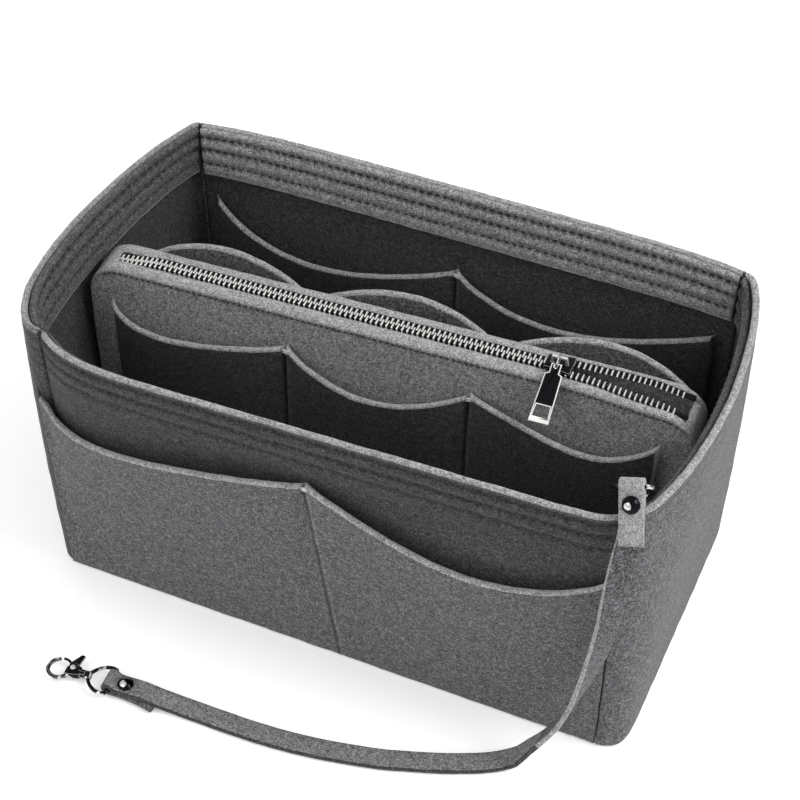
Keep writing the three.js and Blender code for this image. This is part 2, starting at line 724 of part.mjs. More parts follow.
function zipSlider() {
  const shoulder = sliderNose + sliderLength * sliderShoulderShare;
  const outline = flatShape([
    [sliderNose - sliderX, -sliderNoseHalfWidth],
    [shoulder - sliderX, -sliderNoseHalfWidth],
    [sliderTail - sliderX, -sliderTailHalfWidth],
    [sliderTail - sliderX, sliderTailHalfWidth],
    [shoulder - sliderX, sliderNoseHalfWidth],
    [sliderNose - sliderX, sliderNoseHalfWidth],
  ]);
  const parts = [
    slab(outline, plateThickness, sliderPlateOffset),
    slab(outline, plateThickness, -sliderPlateOffset),
  ];
  const flangeFoot = tapeThickness / 2 + sliderClearance;
  for (const hand of [-1, 1])
    for (const level of [-1, 1]) {
      const low = Math.min(level * flangeFoot, level * sliderPlateOffset);
      const high = Math.max(level * flangeFoot, level * sliderPlateOffset);
      const inner = hand * (sliderNoseHalfWidth - flangeThickness);
      const outer = hand * sliderNoseHalfWidth;
      const shoulder = -sliderLength / 2 + sliderLength * sliderShoulderShare;
      parts.push(
        boxBetween(
          new THREE.Vector3(-sliderLength / 2, Math.min(inner, outer), low),
          new THREE.Vector3(shoulder, Math.max(inner, outer), high),
        ),
      );
    }
  const wedgeEnd = sliderLength / 2 - wedgeMargin;
  parts.push(
    boxBetween(
      new THREE.Vector3(wedgeEnd - wedgeLength, -wedgeHalfWidth, -sliderPlateOffset),
      new THREE.Vector3(wedgeEnd, wedgeHalfWidth, sliderPlateOffset),
    ),
  );
  const arch = flatShape([
    [-bridgeHalfLength, sliderPlateOffset],
    [-bridgeHalfLength + bridgeLeg / 2, barUnderside + bridgeThickness],
    [bridgeHalfLength - bridgeLeg / 2, barUnderside + bridgeThickness],
    [bridgeHalfLength, sliderPlateOffset],
    [bridgeHalfLength - bridgeLeg, sliderPlateOffset],
    [bridgeHalfLength - bridgeLeg, barUnderside],
    [-bridgeHalfLength + bridgeLeg, barUnderside],
    [-bridgeHalfLength + bridgeLeg, sliderPlateOffset],
  ]);
  parts.push(slab(arch, bridgeWidth).rotateX(Math.PI / 2));
  const mesh = addMesh(pouch, "zip_slider", joined(parts), gunmetal);
  mesh.position.set(sliderX, 0, zipZ(sliderX));
}

function zipPull() {
  const barZ = zipZ(sliderX) + barMiddle;
  const hang = new THREE.Group();
  hang.position.set(sliderX, 0, barZ);
  pouch.add(hang);
  // an oval ring: two half circles, and two straight sides between them
  const linkRings = [];
  for (const end of [-1, 1])
    for (let k = 0; k <= roundSides; k++) {
      const turn = Math.PI * (k / roundSides - 0.5) + (end < 0 ? Math.PI : 0);
      const out = new THREE.Vector3(0, Math.cos(turn), Math.sin(turn));
      const middle = new THREE.Vector3(0, end * (linkHalfLength - linkHalfWidth), 0);
      middle.addScaledVector(out, linkHalfWidth);
      linkRings.push(wireRing(middle, out, new THREE.Vector3(1, 0, 0), linkWire / 2));
    }
  const linkMesh = addMesh(hang, "zip_pull_link", loftGeometry(linkRings, true), gunmetal);
  linkMesh.position.set(0, -linkSlack * Math.cos(linkFall), -linkSlack * Math.sin(linkFall));
  linkMesh.rotation.x = linkFall;

  const neck = pullNeckLength;
  const shape = flatShape([
    [-pullNeckWidth / 2, pullEyeRadius + pullEyeMargin],
    [-pullNeckWidth / 2, -neck + pullEyeRadius],
    [-pullTopWidth / 2, -neck],
    [-pullFootWidth / 2, -pullLength],
    [pullFootWidth / 2, -pullLength],
    [pullTopWidth / 2, -neck],
    [pullNeckWidth / 2, -neck + pullEyeRadius],
    [pullNeckWidth / 2, pullEyeRadius + pullEyeMargin],
  ]);
  const windowTop = -pullLength * (1 - pullWindowShare);
  const windowHalf = pullTopWidth / 2 - pullFrame / 2;
  shape.holes.push(
    new THREE.Path([
      new THREE.Vector2(-windowHalf, windowTop),
      new THREE.Vector2(windowHalf, windowTop),
      new THREE.Vector2(windowHalf + pullFrame / 2, -pullLength + pullFootBar),
      new THREE.Vector2(-windowHalf - pullFrame / 2, -pullLength + pullFootBar),
    ]),
  );
  const eye = new THREE.Path();
  eye.absarc(0, 0, pullEyeRadius, 0, 2 * Math.PI, true);
  shape.holes.push(eye);
  const plate = slab(shape, pullThickness);
  const far = linkSlack + linkHalfLength;
  const pullMesh = addMesh(hang, "zip_pull", closedGeometry(plate), gunmetal);
  pullMesh.position.set(0, -far * Math.cos(linkFall), -far * Math.sin(linkFall));
  pullMesh.rotation.x = pullFall;
}

const anchorSeam = seamX(1 - anchorTabDrop / frontRimHeight, false);
const nearBar = new THREE.Vector3(
  Math.min(anchorSeam, frontSeamRim) + nearBarOut,
  nearBarIn - halfDepth,
  frontRimHeight + nearBarRise,
);
const farBar = new THREE.Vector3(
  farBarShares[0] * frontSeamRim,
  farBarShares[1] * halfDepth,
  strapFloor + farBarRise,
);

function turnedWidth([turn, rise]) {
  const level = new THREE.Vector3(Math.cos(turn), Math.sin(turn), 0);
  return level.multiplyScalar(Math.cos(rise)).setZ(Math.sin(rise));
}

// The strap's middle line with its width direction, in steps along the whole strap.
function strapStations() {
  const stations = [];
  const nearAcross = nearTabAcross.clone().addScaledVector(nearTabAlong, -nearTabAcross.dot(nearTabAlong));
  nearAcross.normalize();
  const nearOut = new THREE.Vector3().crossVectors(nearTabAlong, nearAcross).normalize();
  const nearAt = (distance, out) =>
    nearBar.clone().addScaledVector(nearTabAlong, distance).addScaledVector(nearOut, out);
  const farUp = new THREE.Vector3(0, 0, 1);
  const farAt = (distance, out) =>
    farBar.clone().addScaledVector(farTabAlong, distance).addScaledVector(farUp, out);
  const halfLayers = layerSpacing / 2;
  const pinch = rivetDistance - rivetRadius;
  const leave = rivetDistance + rivetRadius;
  const tailZ = -foldRadius;

  for (const distance of [tabLength, (tabLength + leave) / 2, leave, pinch])
    stations.push([nearAt(distance, halfLayers), nearAcross]);
  for (let k = 0; k <= foldSteps; k++) {
    const turn = Math.PI * (0.5 - k / foldSteps);
    stations.push([nearAt(-foldRadius * Math.cos(turn), foldRadius * Math.sin(turn)), nearAcross]);
  }
  stations.push([nearAt(pinch, -halfLayers), nearAcross]);
  stations.push([nearAt(leave, -halfLayers), nearAcross]);

  const route = strapRouteShares.map(([x, y, z]) => {
    const height = mix(strapFloor, frontRimHeight, z);
    return new THREE.Vector3(x * frontSeamRim, y * halfDepth, height);
  });
  const start = nearAt(leave, -halfLayers);
  const end = farAt(tabLength, tailZ + layerSpacing - farMainDrop);
  const curve = new THREE.CatmullRomCurve3([start, ...route, end], false, "centripetal");
  const toWidth = (turn, rise) => [THREE.MathUtils.degToRad(turn), THREE.MathUtils.degToRad(rise)];
  const widths = [
    [Math.atan2(nearAcross.y, nearAcross.x), Math.asin(nearAcross.z)],
    ...strapRouteShares.map((row) => toWidth(row[3], row[4])),
    [Math.PI / 2, 0],
  ];
  const steps = Math.round(curve.getLength() / strapSpacing);
  for (let step = 1; step <= steps; step++) {
    const part = curve.getUtoTmapping(step / steps);
    const place = part * (widths.length - 1);
    const cell = Math.min(Math.floor(place), widths.length - 2);
    const width = [0, 1].map((k) => mix(widths[cell][k], widths[cell + 1][k], place - cell));
    stations.push([curve.getPoint(part), turnedWidth(width)]);
  }
  for (const distance of [(tabLength + leave) / 2, leave, pinch])
    stations.push([farAt(distance, tailZ + layerSpacing), farTabAcross]);
  for (let k = 0; k <= foldSteps; k++) {
    const turn = Math.PI * (0.5 - k / foldSteps);
    stations.push([farAt(-foldRadius * Math.cos(turn), foldRadius * Math.sin(turn)), farTabAcross]);
  }
  for (const distance of [pinch, leave, (tabLength + leave) / 2, tabLength]) {
    const slant = -farTailSlant * ((distance - pinch) / (tabLength - pinch)) ** 2;
    stations.push([farAt(distance, tailZ).addScaledVector(farTabAcross, slant), farTabAcross]);
  }
  return { stations, nearAt, nearOut, farAt, tailZ };
}

function rivetGeometry(layers) {
  const half = layers / 2 + seamGap;
  const profile = [
    [0, -half - rivetRim],
    [rivetRadius, -half - rivetRim],
    [rivetRadius, -half],
    [rivetShaft, -half],
    [rivetShaft, half],
    [rivetRadius, half],
    [rivetRadius, half + rivetRim],
    [rivetRadius * 0.7, half + rivetRim + rivetDome * 0.7],
    [0, half + rivetRim + rivetDome],
  ];
  return new THREE.LatheGeometry(
    profile.map(([r, y]) => new THREE.Vector2(r, y)),
    2 * roundSides,
  ).rotateX(Math.PI / 2);
}

function strapAndRivets() {
  const { stations, nearAt, nearOut, farAt, tailZ } = strapStations();
  const holes = [
    [nearAt(rivetDistance, 0), nearOut],
    [farAt(rivetDistance, tailZ + layerSpacing / 2), new THREE.Vector3(0, 0, 1)],
  ];
  const turned = (geometry, [place, axis]) => {
    const turn = new THREE.Quaternion().setFromUnitVectors(new THREE.Vector3(0, 0, 1), axis);
    return geometry.applyQuaternion(turn).translate(place.x, place.y, place.z);
  };
  const bore = () => roundBar(rivetShaft + seamGap, 2 * layerSpacing + 2 * strapThickness);
  const strip = stripGeometry(stations, strapWidth, strapThickness);
  const strap = cut(strip, holes.map((hole) => turned(bore(), hole)));
  addMesh(organizer, "key_strap", strap, outerFelt);
  const stack = layerSpacing + strapThickness;
  addMesh(organizer, "near_rivet", closedGeometry(turned(rivetGeometry(stack), holes[0])), gunmetal);
  addMesh(organizer, "far_rivet", closedGeometry(turned(rivetGeometry(stack), holes[1])), gunmetal);
}

function wireAlong(points, radius, steps) {
  const circle = new THREE.Shape();
  circle.absarc(0, 0, radius, 0, 2 * Math.PI);
  const path = new THREE.CatmullRomCurve3(points.map(([x, y]) => new THREE.Vector3(x, y, 0)));
  return new THREE.ExtrudeGeometry(circle, {
    steps,
    extrudePath: path,
    curveSegments: 3,
    bevelEnabled: false,
  });
}

function arcPoints(firstAngle, lastAngle, count) {
  return Array.from({ length: count + 1 }, (_, k) => {
    const angle = mix(firstAngle, lastAngle, k / count);
    return [hookRingX + hookRingRadius * Math.cos(angle), hookRingRadius * Math.sin(angle)];
  });
}

// One swivel clasp: its loop, hook, trigger and pivot pin.
function swivelClasp(prefix, bar, alongRough, across, hookTurn) {
  const clasp = new THREE.Group();
  const y = across.clone().normalize();
  const x = alongRough.clone().addScaledVector(y, -alongRough.dot(y)).normalize();
  const z = new THREE.Vector3().crossVectors(x, y);
  if (z.z < 0) {
    y.negate();
    z.negate();
  }
  clasp.applyMatrix4(new THREE.Matrix4().makeBasis(x, y, z).setPosition(bar));
  organizer.add(clasp);

  const half = claspLoopHalfWidth;
  const far = claspLoopLength;
  const loopPath = [
    [far, 0.12 * half],
    [0.78 * far, 0.62 * half],
    [0.46 * far, 0.95 * half],
    [0.2 * far, half],
    [0.06 * far, 0.96 * half],
    [0, 0.84 * half],
    [0, 0.6 * half],
    [0, -0.6 * half],
    [0, -0.84 * half],
    [0.06 * far, -0.96 * half],
    [0.2 * far, -half],
    [0.46 * far, -0.95 * half],
    [0.78 * far, -0.62 * half],
    [far, -0.12 * half],
  ];
  const knuckle = roundBar(knuckleRadius, knuckleLength).rotateY(Math.PI / 2);
  const knuckleEnd = far + knuckleLength / 2;
  const pin = roundBar(swivelPinRadius, 2 * swivelPinLength).rotateY(Math.PI / 2);
  const loop = joined([
    wireAlong(loopPath, claspWire / 2, 3 * roundSides),
    knuckle.translate(far, 0, 0),
    pin.translate(knuckleEnd, 0, 0),
  ]);
  addMesh(clasp, prefix + "_clasp_loop", loop, gunmetal);

  const neckStart = knuckleEnd + swivelClearance;
  const neckEnd = neckStart + hookNeckLength;
  const neck = roundBar(hookNeckRadius, hookNeckLength).rotateY(Math.PI / 2);
  const bossShape = new THREE.Shape();
  bossShape.moveTo(neckEnd - cutOverrun, -hookNeckRadius);
  bossShape.lineTo(pivotX, pivotY - pivotBossRadius);
  bossShape.lineTo(pivotX + pivotBossRadius, pivotY);
  bossShape.lineTo(pivotX + pivotBossRadius, pivotBossRadius);
  bossShape.lineTo(pivotX, pivotBossRadius);
  bossShape.lineTo(neckEnd - cutOverrun, hookNeckRadius);
  const swivel = new THREE.Group();
  swivel.rotation.x = hookTurn;
  clasp.add(swivel);
  const body = joined([
    neck.translate((neckStart + neckEnd) / 2, 0, 0),
    slab(bossShape, hookThickness),
    wireAlong(arcPoints(hookFirstAngle, hookLastAngle, roundSides), hookWire / 2, 2 * roundSides),
  ]);
  const boreDepth = swivelPinLength + swivelClearance;
  const bore = roundBar(swivelPinRadius + swivelClearance, 2 * boreDepth).rotateY(Math.PI / 2);
  const slotStart = pivotX - triggerRootRadius - swivelClearance;
  const slot = boxBetween(
    new THREE.Vector3(slotStart, pivotY - pivotBossRadius - cutOverrun, -slotThickness / 2),
    new THREE.Vector3(
      pivotX + pivotBossRadius + cutOverrun,
      pivotY + triggerRootRadius + swivelClearance,
      slotThickness / 2,
    ),
  );
  const pinHole = roundBar(pivotPinRadius + seamGap, hookThickness + cutOverrun);
  const hook = cut(body, [
    bore.translate(neckStart, 0, 0),
    slot,
    pinHole.translate(pivotX, pivotY, 0),
  ]);
  addMesh(swivel, prefix + "_clasp_hook", hook, gunmetal);

  const gate = wireAlong(arcPoints(gateFirstAngle, gateLastAngle, 4), triggerThickness / 2, roundSides);
  const root = roundBar(triggerRootRadius, triggerThickness);
  const gateEnd = arcPoints(gateFirstAngle, gateLastAngle, 1)[1];
  const lever = flatShape([
    [pivotX - triggerLeverWidth / 2, pivotY],
    [pivotX - triggerLeverWidth, pivotY - triggerLever],
    [pivotX, pivotY - triggerLever],
    [gateEnd[0] + triggerLeverWidth / 2, gateEnd[1] - triggerLeverWidth / 2],
    [gateEnd[0] + triggerLeverWidth / 2, gateEnd[1] + triggerLeverWidth / 2],
    [pivotX + triggerRootRadius, pivotY],
  ]);
  const trigger = cut(joined([gate, root.translate(pivotX, pivotY, 0), slab(lever, triggerThickness)]), [
    roundBar(pivotPinRadius + seamGap, hookThickness).translate(pivotX, pivotY, 0),
  ]);
  addMesh(swivel, prefix + "_clasp_trigger", trigger, gunmetal);

  const headProfile = [
    [0, -hookThickness / 2 - seamGap - pivotHeadThickness],
    [pivotPinHead, -hookThickness / 2 - seamGap - pivotHeadThickness],
    [pivotPinHead, -hookThickness / 2 - seamGap],
    [pivotPinRadius, -hookThickness / 2 - seamGap],
    [pivotPinRadius, hookThickness / 2 + seamGap],
    [pivotPinHead, hookThickness / 2 + seamGap],
    [pivotPinHead, hookThickness / 2 + seamGap + pivotHeadThickness],
    [0, hookThickness / 2 + seamGap + pivotHeadThickness],
  ].map(([r, h]) => new THREE.Vector2(r, h));
  const pivotPin = new THREE.LatheGeometry(headProfile, roundSides).rotateX(Math.PI / 2);
  pivotPin.translate(pivotX, pivotY, 0);
  addMesh(swivel, prefix + "_clasp_pin", closedGeometry(pivotPin), gunmetal);
  return swivel;
}

// The ring hangs in the near clasp's hook, and the felt tab ties it to the front band.
function anchor(hookFrame) {
  const inner = hookRingRadius - hookWire / 2 - seamGap - anchorWire / 2;
  const away = new THREE.Vector3(Math.cos(anchorAngle), Math.sin(anchorAngle), 0);
  const hookMiddle = new THREE.Vector3(hookRingX, 0, 0);
  const ring = new THREE.TorusGeometry(anchorRingRadius, anchorWire / 2, roundSides - 2, 2 * roundSides);
  ring.rotateX(Math.PI / 2).rotateZ(anchorAngle);
  const ringMesh = addMesh(hookFrame, "anchor_ring", closedGeometry(ring), gunmetal);
  ringMesh.position.copy(hookMiddle).addScaledVector(away, inner + anchorRingRadius);

  hookFrame.updateWorldMatrix(true, false);
  const held = hookMiddle.clone().addScaledVector(away, inner + 2 * anchorRingRadius);
  hookFrame.localToWorld(held);
  const wire = new THREE.Vector3(0, 0, 1).transformDirection(hookFrame.matrixWorld);
  const straight = new THREE.Vector3(1, 0, 0);
  if (wire.dot(straight) < 0) wire.negate();
  const bandInner = 2 * feltThickness + 3 * layerGap;
  const anchorTabFoot = frontRimHeight - anchorTabDrop;
  const tabShare = (frontSeamRim - anchorTabMargin) / frontSeamRim;
  const onBand = (z, outset) =>
    frontPoint(tabShare, anchorTabFoot, bandInner + anchorTabThickness / 2 + outset).setZ(z);
  const layer = anchorTabThickness + seamGap;
  const leave = anchorTabFoot + anchorTabLength;
  const bend = anchorWire / 2 + anchorTabSlack + anchorTabThickness / 2;
  const out = held.clone().sub(onBand(leave, 0));
  out.addScaledVector(wire, -out.dot(wire)).normalize();
  const side = new THREE.Vector3().crossVectors(wire, out);
  const stations = [
    [onBand(anchorTabFoot, 0), straight],
    [onBand(leave, 0), straight],
  ];
  for (let k = 0; k <= foldSteps; k++) {
    const turn = (Math.PI * k) / foldSteps;
    const point = held.clone().addScaledVector(side, bend * Math.cos(turn));
    stations.push([point.addScaledVector(out, bend * Math.sin(turn)), wire]);
  }
  stations.push([onBand(leave - layer, layer), straight]);
  stations.push([onBand(anchorTabFoot, layer), straight]);
  const tab = stripGeometry(stations, anchorTabWidth, anchorTabThickness);
  addMesh(organizer, "anchor_tab", tab, innerFelt);
}

tubWalls();
bottomPanel();
tubPockets();
pouchShell();
zipRow("zip_tape_front", -1);
zipRow("zip_tape_rear", 1);
zipSlider();
zipPull();
strapAndRivets();
anchor(swivelClasp("near", nearBar, nearClaspAlong, nearTabAcross, nearHookTurn));
swivelClasp("far", farBar, farClaspAlong, farTabAcross, 0);

export default organizer;
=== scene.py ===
import math
import random
import bmesh
import bpy
import numpy as np
from mathutils import Matrix, Vector, noise


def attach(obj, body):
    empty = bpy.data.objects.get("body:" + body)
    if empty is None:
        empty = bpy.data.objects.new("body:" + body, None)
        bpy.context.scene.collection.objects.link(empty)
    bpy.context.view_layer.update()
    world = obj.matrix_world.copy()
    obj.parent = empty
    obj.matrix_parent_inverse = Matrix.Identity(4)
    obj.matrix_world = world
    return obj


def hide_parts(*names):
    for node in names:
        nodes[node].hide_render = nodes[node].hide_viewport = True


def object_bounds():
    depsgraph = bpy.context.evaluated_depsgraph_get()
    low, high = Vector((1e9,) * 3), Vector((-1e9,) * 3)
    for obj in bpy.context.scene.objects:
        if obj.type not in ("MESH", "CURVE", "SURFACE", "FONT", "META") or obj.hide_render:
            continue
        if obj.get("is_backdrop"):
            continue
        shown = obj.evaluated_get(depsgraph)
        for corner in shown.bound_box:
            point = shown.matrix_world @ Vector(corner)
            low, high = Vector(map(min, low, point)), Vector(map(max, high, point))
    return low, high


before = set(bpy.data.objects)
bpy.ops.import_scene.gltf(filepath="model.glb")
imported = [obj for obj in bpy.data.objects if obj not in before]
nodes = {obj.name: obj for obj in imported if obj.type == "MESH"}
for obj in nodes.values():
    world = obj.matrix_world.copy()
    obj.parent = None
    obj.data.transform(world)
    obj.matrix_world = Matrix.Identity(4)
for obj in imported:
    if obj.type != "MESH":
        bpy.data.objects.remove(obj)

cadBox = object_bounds()
scene = bpy.context.scene
random.seed(11)
noise.seed_set(11)
mm = 0.001
for item in list(bpy.context.selected_objects):
    item.select_set(False)

print("camera")
view = {"place": Vector((296.1, -666.4, 815.9)), "target": Vector((2.7, 0, 103.2)), "lens": 91.7}
camera = bpy.data.objects.new("camera", bpy.data.cameras.new("camera"))
scene.collection.objects.link(camera)
camera.location = view["place"] * mm
camera.rotation_euler = (view["target"] * mm - camera.location).to_track_quat("-Z", "Y").to_euler()
camera.data.lens = view["lens"]
scene.camera = camera
scene.view_settings.view_transform = "Standard"

print("materials")


def linear(code):
    values = [int(code[i : i + 2], 16) / 255 for i in (0, 2, 4)]
    return tuple(v / 12.92 if v <= 0.04045 else ((v + 0.055) / 1.055) ** 2.4 for v in values) + (1.0,)


def feed(tree, node, inputs):
    for key, value in dict(inputs).items():
        if isinstance(value, bpy.types.NodeSocket):
            tree.links.new(value, node.inputs[key])
        else:
            node.inputs[key].default_value = value
    return node


def addNode(tree, kind, inputs=(), **settings):
    node = tree.nodes.new("ShaderNode" + kind)
    for key, value in settings.items():
        setattr(node, key, value)
    return feed(tree, node, inputs)


def newMaterial(name):
    material = bpy.data.materials.new(name)
    material.use_nodes = True
    return material, material.node_tree, material.node_tree.nodes["Principled BSDF"]


def ramp(tree, factor, stops):
    node = addNode(tree, "ValToRGB", {"Fac": factor})
    band = node.color_ramp
    while len(band.elements) < len(stops):
        band.elements.new(0.5)
    for element, (place, code) in zip(band.elements, stops):
        element.position = place
        element.color = linear(code)
    return node


# Pressed polyester felt: matt, with a matted grain, with painted shade where the mesh's shade value is above
# 0 and painted light where it is below 0. Its fibres are too fine to show, so they are drawn 0.8 mm coarse
# (1250 to the metre), in tufts of 2.4 mm.
def feltMaterial(name, dark, middle, light, fuzz, sheen):
    material, tree, shader = newMaterial(name)
    place = addNode(tree, "TexCoord").outputs["Object"]
    fibres = addNode(tree, "TexNoise", {"Vector": place, "Scale": 1250, "Detail": 2, "Roughness": 0.6})
    tufts = addNode(tree, "TexNoise", {"Vector": place, "Scale": 420, "Detail": 3, "Roughness": 0.6})
    weight = addNode(tree, "Math", {0: tufts.outputs["Fac"], 1: 0.3}, operation="MULTIPLY")
    parts = {0: fibres.outputs["Fac"], 1: 0.7, 2: weight.outputs[0]}
    total = addNode(tree, "Math", parts, operation="MULTIPLY_ADD")
    colour = ramp(tree, total.outputs[0], [(0.36, dark), (0.5, middle), (0.65, light)])
    paintedShade = addNode(tree, "Attribute", attribute_name="paintedShade")
    # painted shade darkens the felt down to 0.3 times, painted light brightens it up to 1.7 times
    span = {"From Min": -1, "From Max": 1, "To Min": 1.7, "To Max": 0.3}
    shade = addNode(tree, "MapRange", {"Value": paintedShade.outputs["Fac"], **span})
    shaded = {0: colour.outputs["Color"], "Scale": shade.outputs["Result"]}
    tint = addNode(tree, "VectorMath", shaded, operation="SCALE")
    bump = addNode(tree, "Bump", {"Height": total.outputs[0], "Strength": fuzz, "Distance": 0.0012})
    feed(tree, shader, {
        "Base Color": tint.outputs["Vector"], "Normal": bump.outputs["Normal"], "Roughness": 0.95,
        "Specular IOR Level": 0.15, "Sheen Weight": sheen, "Sheen Roughness": 0.5,
    })
    return material


outerFelt = feltMaterial("grey felt face", "2a2a2b", "525254", "838386", 0.7, 0.1)
# painted shade: a darker copy of the face felt, for faces that lie in shade inside the tub, and for the
# lying strap's edges
shadedFelt = feltMaterial("shaded grey felt face", "1f1f20", "3a3a3c", "5e5e60", 0.7, 0.1)
# painted light and shade: the hem band felt in a lit copy, for the back band and the pouch's gussets, and in
# a shaded copy for the other bands
litBandFelt = feltMaterial("lit grey felt hem band", "4a4a4b", "808082", "b6b6b8", 0.7, 0.15)
sideFelt = feltMaterial("shaded felt hem band", "2c2c2d", "4b4b4d", "767678", 0.7, 0.1)
pouchFelt = feltMaterial("grey felt pouch face", "525253", "8c8c8e", "c2c2c4", 0.7, 0.15)
# painted light: paler copies of the strap's felt, for its faces where it lies on the floor and for its near
# tab
litLyingFelt = feltMaterial("lit grey felt strap face", "48484a", "747476", "a0a0a2", 0.7, 0.1)
# the cut edges are paler: partly their fuzz, partly painted light where the edges catch it
cutFelt = feltMaterial("fuzzy lit cut felt edge", "606061", "8e8e8f", "bdbdbd", 0.9, 0.2)
litTabFelt = feltMaterial("lit pale grey strap felt face", "666668", "8c8c8e", "b0b0b1", 0.7, 0.2)


# polyester sewing thread: dull, with its twist as fine ridges 0.4 mm apart
def threadMaterial(name, code):
    material, tree, shader = newMaterial(name)
    place = addNode(tree, "TexCoord").outputs["Object"]
    twist = addNode(tree, "TexNoise", {"Vector": place, "Scale": 2500, "Detail": 2})
    bump = addNode(tree, "Bump", {"Height": twist.outputs["Fac"], "Strength": 0.4, "Distance": 0.0003})
    feed(tree, shader, {"Base Color": linear(code), "Normal": bump.outputs["Normal"], "Roughness": 0.6})
    return material


darkThread = threadMaterial("dark grey polyester thread", "262628")
paleThread = threadMaterial("pale grey polyester thread", "c4c4c6")


# woven polyester tape: matt, with ribs 0.35 mm apart across it
def tapeMaterial():
    material, tree, shader = newMaterial("black woven zip tape")
    place = addNode(tree, "TexCoord").outputs["Object"]
    ribs = addNode(tree, "TexWave", {"Vector": place, "Scale": 900, "Distortion": 0.4}, bands_direction="X")
    colour = ramp(tree, ribs.outputs["Fac"], [(0.2, "0c0c0d"), (0.9, "1d1d1f")])
    bump = addNode(tree, "Bump", {"Height": ribs.outputs["Fac"], "Strength": 0.5, "Distance": 0.0003})
    feed(tree, shader, {
        "Base Color": colour.outputs["Color"], "Normal": bump.outputs["Normal"], "Roughness": 0.9,
        "Specular IOR Level": 0.1,
    })
    return material


# plated metal: a hard gloss, with faint handling smudges of 4 to 5 mm in it
def metalMaterial(name, code, rough, marks):
    material, tree, shader = newMaterial(name)
    place = addNode(tree, "TexCoord").outputs["Object"]
    smudge = addNode(tree, "TexNoise", {"Vector": place, "Scale": 220, "Detail": 4})
    span = {"To Min": rough * 0.6, "To Max": rough * 1.5}
    gloss = addNode(tree, "MapRange", {"Value": smudge.outputs["Fac"], **span})
    bump = addNode(tree, "Bump", {"Height": smudge.outputs["Fac"], "Strength": marks, "Distance": 0.0002})
    feed(tree, shader, {
        "Base Color": linear(code), "Metallic": 1, "Roughness": gloss.outputs["Result"],
        "Normal": bump.outputs["Normal"],
    })
    return material, tree, shader


# black nickel with painted highlights: it turns to bright metal where the mesh's highlight value or the
# noise is high
def highlightedNickelMaterial():
    material, tree, shader = metalMaterial("black nickel with painted highlights", "222225", 0.16, 0.15)
    place = addNode(tree, "TexCoord").outputs["Object"]
    highlightPatches = addNode(tree, "TexNoise", {"Vector": place, "Scale": 260, "Detail": 1.5})
    highlight = addNode(tree, "Attribute", attribute_name="highlight")
    total = addNode(tree, "Math", {0: highlightPatches.outputs["Fac"], 1: highlight.outputs["Fac"]}, operation="ADD")
    colour = ramp(tree, total.outputs[0], [(0.55, "1b1b1e"), (0.61, "d2d2d0")])
    feed(tree, shader, {"Base Color": colour.outputs["Color"]})
    return material


zipTape = tapeMaterial()
nickel = metalMaterial("bright nickel teeth", "f1f1ee", 0.3, 0.3)[0]
blackNickel = metalMaterial("black nickel plating", "1f1f22", 0.1, 0.15)[0]
# painted highlights: bright metal for edge faces, the pins, and the slider's and pull's bright parts
brightHighlightMetal = metalMaterial("bright metal for painted edge highlights", "e9e9e6", 0.42, 0.2)[0]
highlightedNickel = highlightedNickelMaterial()


def mix(a, b, share):
    return a + (b - a) * share


def smooth(x, low, high):
    part = min(max((x - low) / (high - low), 0), 1)
    return part * part * (3 - 2 * part)


def bell(x, width):
    return math.exp(-((x / width) ** 2))


def addMesh(name, points, faces, materials, faceSlots=None, paintedShades=None):
    mesh = bpy.data.meshes.new(name)
    mesh.from_pydata([p * mm for p in points], [], faces)
    for material in materials:
        mesh.materials.append(material)
    if faceSlots:
        mesh.polygons.foreach_set("material_index", faceSlots)
    if paintedShades:
        mesh.attributes.new("paintedShade", "FLOAT", "POINT").data.foreach_set("value", paintedShades)
    mesh.polygons.foreach_set("use_smooth", [True] * len(mesh.polygons))
    piece = bpy.data.objects.new(name, mesh)
    scene.collection.objects.link(piece)
    return piece


def fixNormals(piece):
    shape = bmesh.new()
    shape.from_mesh(piece.data)
    bmesh.ops.recalc_face_normals(shape, faces=shape.faces)
    shape.to_mesh(piece.data)
    shape.free()


def spaced(low, high, count):
    return [mix(low, high, k / count) for k in range(count + 1)]
